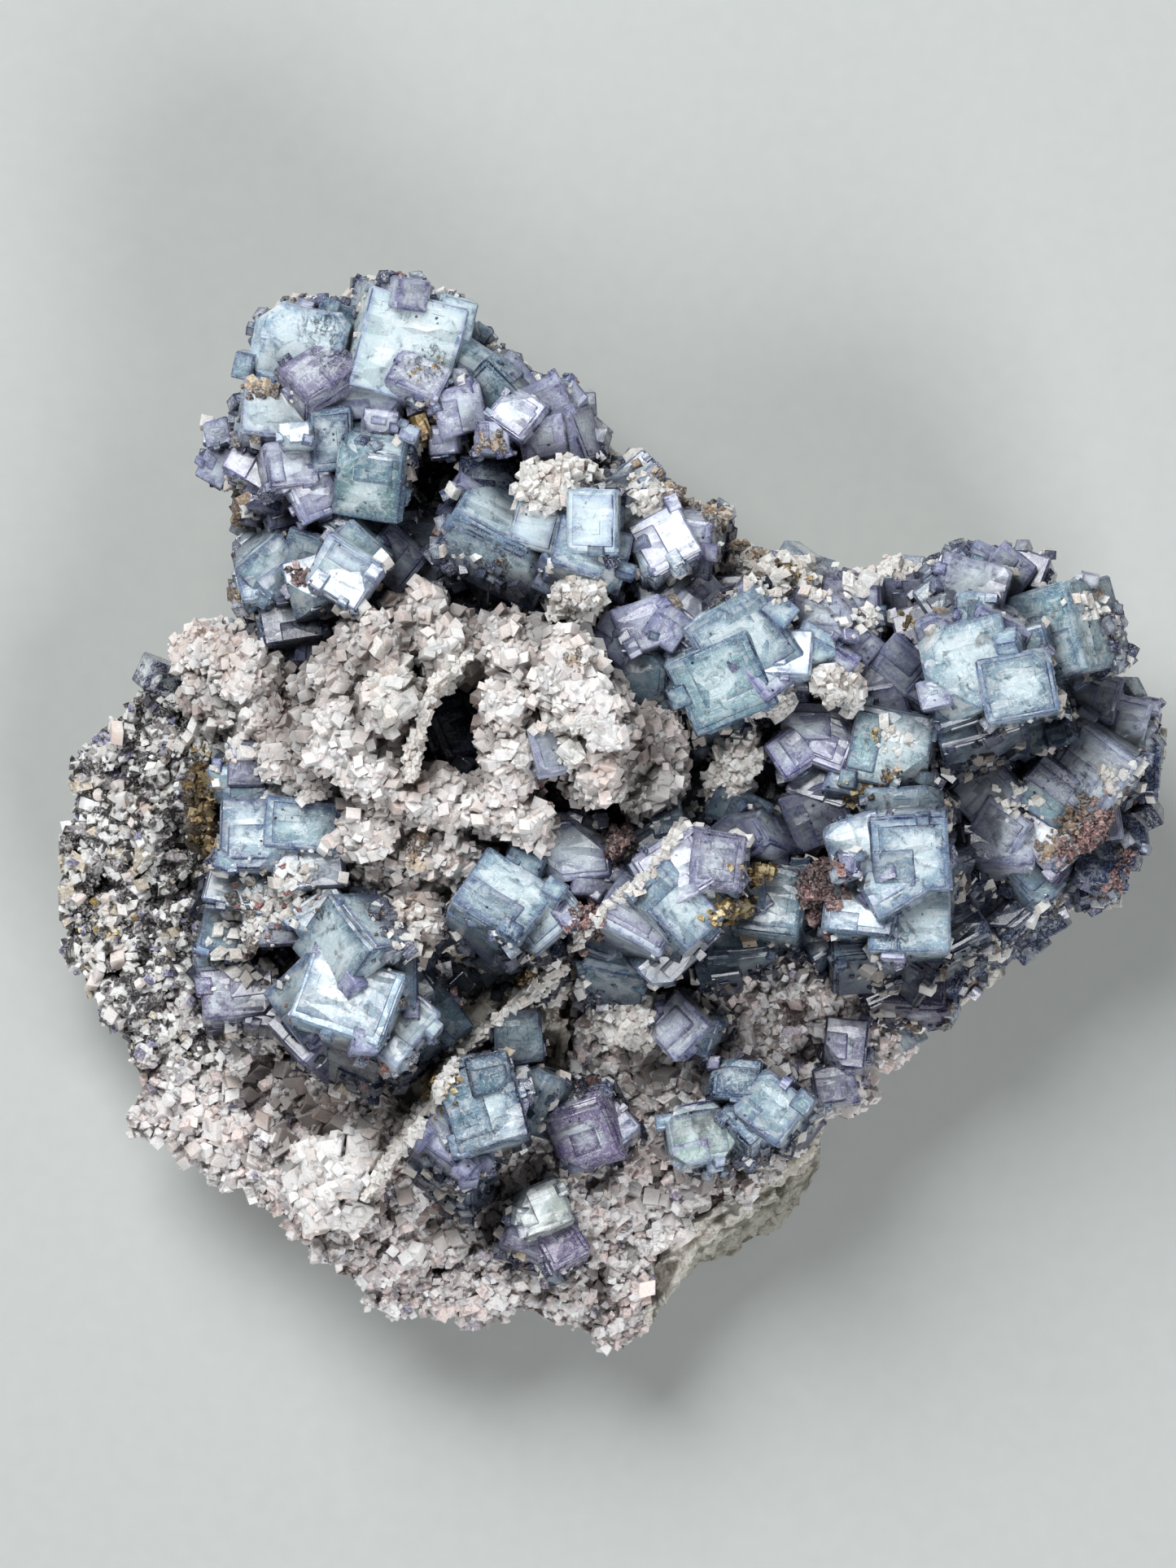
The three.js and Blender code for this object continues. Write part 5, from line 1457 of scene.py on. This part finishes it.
# x, y, half width, half length, turn, how many, smallest and largest edge
SPOTS = {
    "white_line": (WHITE, "white_dolomite", [
        (-9.2, -20.2, 0.6, 3.7, -47, 90, 0.4, 1.2), (-15.1, -25.4, 0.6, 3.9, -53, 100, 0.4, 1.2),
        (-20.3, -31.9, 0.6, 4.7, -27, 120, 0.4, 1.3), (-24.9, -39.4, 0.6, 4.1, -38, 100, 0.4, 1.2),
        (-29.2, -45.9, 0.6, 3.7, -28, 80, 0.3, 1.0), (8.2, -1.5, 0.5, 5.8, -34, 90, 0.4, 1.2),
        (2.3, -8.5, 0.5, 3.5, -50, 60, 0.4, 1.1), (-3.2, -14.1, 0.5, 4.4, -40, 70, 0.4, 1.1),
        (-27, 15.4, 2.4, 4, 0, 20, 1.4, 2.4), (31, 29.5, 3, 2, 0, 30, 0.7, 1.8),
        (-6.2, 11.6, 3.4, 1.2, 0, 40, 0.6, 1.8), (-4.8, 8.6, 1.0, 3.0, 0, 30, 0.6, 1.8),
        (-10.6, 7.6, 0.8, 2.6, 0, 22, 0.5, 1.4), (19.4, 29.4, 3.4, 2.4, -30, 60, 0.5, 1.6),
        (25, 28.2, 3, 1.6, -30, 24, 0.5, 1.4), (60, 25.5, 4, 1.4, -20, 30, 0.5, 1.4),
        (31.5, 24.5, 2.2, 1.8, 0, 40, 0.4, 1.3), (34, 10, 1.8, 3, 20, 20, 0.4, 1.2),
        (50, 2, 2.4, 2.4, 0, 30, 0.4, 1.3), (63, 5, 3, 2, 0, 26, 0.4, 1.3), (2, 2, 3, 2, 0, 30, 0.5, 1.4),
        (-24, -14, 3, 4, 0, 40, 0.5, 1.4), (-6, -22, 3, 4, 0, 40, 0.5, 1.3),
        (-50, 10, 5, 4, 0, 70, 0.5, 1.6)]),
    "loose_rhombs": (PINK, "pink_dolomite", [
        (-48, -38, 12, 8, 20, 60, 1.0, 2.4), (-34, -36, 9, 8, 0, 50, 1.0, 2.4),
        (-14, -50, 16, 6, 0, 80, 1.0, 2.4), (8, -47, 10, 8, 30, 60, 1.0, 2.4),
        (28, -36, 10, 6, 30, 44, 0.9, 2.2), (4, -32, 8, 6, 0, 34, 0.9, 2.2),
        (-62, -20, 6, 14, 0, 30, 0.9, 2.0), (-60, 4, 6, 14, 0, 30, 0.9, 2.0)]),
    "shelf_grains": (GRIT, "white_dolomite", [
        (-41, -9.5, 6, 4, 30, 150, 0.4, 1.3), (-45, -16, 5, 6, 0, 120, 0.4, 1.4)]),
    "red_spots": (RED, "red_grains", [
        (-38.6, 29.8, 1.8, 1.6, 0, 26, 0.3, 1.0), (-7.2, 3.1, 1.8, 1.5, 0, 24, 0.3, 1.0),
        (1, -3.2, 2, 2.2, 0, 44, 0.3, 1.0), (-2.8, -13, 2.6, 3.1, 0, 60, 0.3, 1.0),
        (26.6, -8.4, 3.1, 3.6, 0, 90, 0.3, 1.1), (58, -1.8, 1.6, 5.4, -38, 70, 0.3, 1.1),
        (63, -7, 2, 5, -25, 60, 0.3, 1.0), (-18, -22, 1.4, 1.4, 0, 14, 0.3, 0.8)]),
    "brown_spots": (BROWN, "matrix", [
        (-46.2, 38.5, 1.2, 2.2, 0, 26, 0.6, 1.5), (-43, 53.2, 1.6, 1.4, 0, 22, 0.6, 1.5),
        (-4.3, 19.5, 1.3, 1.3, 0, 14, 0.4, 1.0), (14, 36.4, 1.6, 6, 42, 60, 0.5, 1.4),
        (8, 41, 1.4, 4, 50, 30, 0.5, 1.3), (-14, 46, 1.6, 1.2, 0, 18, 0.4, 1.2),
        (56, -1, 1.4, 4.6, -38, 46, 0.4, 1.3), (34.5, 5.6, 1.2, 1.2, 0, 10, 0.4, 1.0),
        (-23.8, -4, 1.1, 3, 0, 30, 0.4, 1.2)]),
    "ore_specks": (PYRITE, "pyrite", [
        (-46.6, 27.4, 1.2, 1.6, 0, 26, 0.3, 1.0), (13.8, -11.6, 2, 1.6, 0, 40, 0.3, 1.0),
        (17.6, -6.8, 2, 1.6, 0, 36, 0.3, 1.0), (-9.6, -19.6, 1.7, 1.4, 0, 30, 0.3, 1.0),
        (-24, 54.6, 1.2, 0.8, 0, 5, 0.3, 0.5), (-21.6, 55.6, 1.4, 1.2, 0, 7, 0.2, 0.4),
        (22, 30.6, 2.4, 1.4, -20, 24, 0.3, 0.9), (36.5, 24.4, 1.0, 1.0, 0, 12, 0.3, 0.7),
        (32, 10.4, 0.8, 0.6, 0, 8, 0.3, 0.6), (-50, 2, 1.6, 5.6, 8, 130, 0.3, 1.0),
        (-21, -33, 2, 3, -40, 40, 0.3, 1.0), (-62, -14, 3, 4, 0, 24, 0.3, 1.0),
        (30, 3, 2, 2, 0, 16, 0.3, 0.9)]),
}


def heap_of_grains(name, spots, dice, finish, under):
    """One mesh of rhombs, each resting where a ray from above lands."""
    corners = vertex_rows(RHOMB.data)
    sides = [list(face.vertices) for face in RHOMB.data.polygons]
    points, faces, chances = [], [], []
    for x, y, half_x, half_y, turn, count, smallest, largest in spots:
        for _ in range(count):
            spread = Vector((dice.gauss(0, 0.5) * half_x, dice.gauss(0, 0.5) * half_y, 0))
            spread.rotate(Euler((0, 0, math.radians(turn))))
            above = to_frame(x + spread.x, y + spread.y, DROP_HEIGHT)
            hit, normal, _, _ = under.ray_cast(above, Vector((0, 0, -1)))
            if hit is None:
                continue
            half = MM / 2 * (smallest + (largest - smallest) * dice.random() ** 2)
            pose = normal.to_track_quat("Z", "Y").to_matrix()
            pose = pose @ Euler([dice.gauss(0, 0.5), dice.gauss(0, 0.5), dice.uniform(0, 3)]).to_matrix()
            stretch = [dice.uniform(0.7, 1.2) for _ in range(3)]
            base = len(points) * len(corners)
            faces += [[base + corner for corner in side] for side in sides]
            points.append(corners * half * stretch @ np.array(pose).T + np.array(hit))
            chances += [dice.uniform(0.01, 0.99)] * len(sides)
    mesh = bpy.data.meshes.new(name)
    mesh.from_pydata(np.concatenate(points).tolist(), [], faces)
    write_layer(mesh, "chance", "FLOAT", "FACE", chances)
    mesh.materials.append(finish)
    heap = placed(name, mesh)
    keep_inside(heap)
    return heap


def landing(pieces):
    """What a falling grain can land on."""
    points, faces = [], []
    for piece in pieces:
        faces += [[len(points) + corner for corner in face.vertices] for face in piece.data.polygons]
        points += [vert.co.copy() for vert in piece.data.vertices]
    return BVHTree.FromPolygons(points, faces)


ANYTHING = landing([*PIECES.values(), crust, rock, druse])
CRUST_ONLY = landing([crust])
for number, (name, (finish, slot, spots)) in enumerate(SPOTS.items()):
    under = CRUST_ONLY if name == "loose_rhombs" else ANYTHING
    heap = heap_of_grains(name, spots, random.Random(600 + number), finish, under)
    hand_over(heap)
    print(name, "faces:", len(heap.data.polygons))

# %% [markdown]
# Between real crystals the gaps are nearly black, because dust and dark ore gather there and little light
# comes out, and the finishes paint that shade into the colour. The depth of every point under the peaks
# around it is measured on a grid. A narrow crevice counts sooner than a wide hollow, and a point near the
# rim counts less, because light reaches it from the open side. The finishes read the result as painted
# shade.

# %% How deep each point lies in the gaps
GRID_MM = 1.0
GRID_REACH = 80
# So far below the peaks a point is still clean, and so much further down it is darkest
DEPTH_FREE = 2.2
DEPTH_FULL = 7.0
CREVICE_FREE = 1.4
CREVICE_FULL = 4.5
CREVICE_DARKEST = 0.85
OPEN_SHARE = 0.7


def grid_cells(piece):
    """The grid cell under each vertex, and its height in millimetres."""
    points = vertex_rows(piece.data) / MM
    column, line = np.clip(np.rint(points[:, :2] / GRID_MM).astype(int) + GRID_REACH, 0, 2 * GRID_REACH).T
    return column, line, points[:, 2]


def spread_out(grid, reach, join):
    """Joins every cell with its neighbours up to a reach, along one axis after the other."""
    for axis in (0, 1):
        grid = join([np.roll(grid, shift, axis) for shift in range(-reach, reach + 1)], axis=0)
    return grid


def widened(grid, reach, softness):
    """The highest value within a reach, with a soft border."""
    return spread_out(spread_out(grid, reach, np.max), softness, np.mean)


solids = list(frame["nodes"].values())
made = [thing for thing in bpy.context.scene.objects if thing.type == "MESH" and thing not in solids]
tops = np.zeros((2 * GRID_REACH + 1, 2 * GRID_REACH + 1))
for piece in made:
    column, line, height = grid_cells(piece)
    np.maximum.at(tops, (column, line), height)
open_air = widened((tops == 0).astype(float), 3, 2)
near_peaks = widened(tops, 2, 1)
peaks = widened(tops, 4, 3)
for piece in made:
    column, line, height = grid_cells(piece)
    hollow = np.clip((peaks[column, line] - height - DEPTH_FREE) / DEPTH_FULL, 0, 1)
    crevice = np.clip((near_peaks[column, line] - height - CREVICE_FREE) / CREVICE_FULL, 0, CREVICE_DARKEST)
    sunk = np.maximum(hollow, crevice) * (1 - OPEN_SHARE * open_air[column, line])
    write_layer(piece.data, "sunk", "FLOAT", "POINT", sunk)
print("pieces that know their depth:", len(made))

# %% [markdown]
# The floor is plain and pale. The light is one large soft window at the upper left with a weak fill, and
# the camera looks straight down on the crystal face, far away with a long lens, so the cubes keep their
# shapes.

# %% Floor, light and camera
PICTURE_HEIGHT_PIXELS = 1927
PIXELS_PER_MM = 10.0
FACE_MIDDLE = (-2.75, 4.35)
CAMERA_HEIGHT = 1.4
FACE_HEIGHT = 0.035
SENSOR_MM = 36.0
BELOW_THE_ROCK = 0.2 * MM


def floor_finish():
    """A pale grey floor, a little uneven in tone."""
    paint = Finish("pale_floor")
    colour = paint.mix(paint.clouds(0.4), (180, 184, 182), (187, 190, 187))
    paint.shade({"Base Color": colour, "Roughness": 0.9})
    return paint.material


def soft_light(name, place, aim, size, power, colour):
    """A rectangular window of light that looks at a point."""
    lamp = bpy.data.lights.new(name, "AREA")
    lamp.shape = "RECTANGLE"
    lamp.size, lamp.size_y = size
    lamp.energy = power
    lamp.color = colour
    holder = placed(name, lamp)
    holder.location = place
    holder.rotation_euler = (Vector(aim) - Vector(place)).to_track_quat("-Z", "Y").to_euler()


bpy.ops.mesh.primitive_plane_add(size=4.0, location=(0, 0, -BELOW_THE_ROCK))
floor = bpy.context.object
floor.name = "floor"
floor.data.materials.append(floor_finish())

soft_light("window", (-0.45, 0.74, 0.92), (0.06, -0.02, 0.03), (0.7, 0.8), 20.6, (0.98, 0.99, 1.0))
soft_light("fill", (0.5, -0.8, 0.8), (0.04, -0.05, 0.0), (0.6, 0.6), 10.5, (0.97, 0.98, 1.0))
world = bpy.data.worlds.new("studio")
world.use_nodes = True
sky = world.node_tree.nodes["Background"]
sky.inputs["Color"].default_value = (0.9, 0.95, 1.0, 1)
sky.inputs["Strength"].default_value = 0.06
bpy.context.scene.world = world

bpy.context.scene.view_settings.view_transform = "Standard"
camera = bpy.data.cameras.new("camera")
camera.sensor_width = SENSOR_MM
picture_height = PICTURE_HEIGHT_PIXELS / PIXELS_PER_MM * MM
camera.lens = SENSOR_MM * (CAMERA_HEIGHT - FACE_HEIGHT) / picture_height
camera.clip_end = 10.0
viewer = placed("camera", camera)
middle = to_frame(*FACE_MIDDLE, 0)
viewer.location = (middle.x, middle.y, CAMERA_HEIGHT)
bpy.context.scene.camera = viewer
print("lens:", round(camera.lens), "mm")

# %% Remove the stamps
for stamped in (RHOMB, BIG_RHOMB, CUBE, BIG_CUBE):
    bpy.data.objects.remove(stamped)
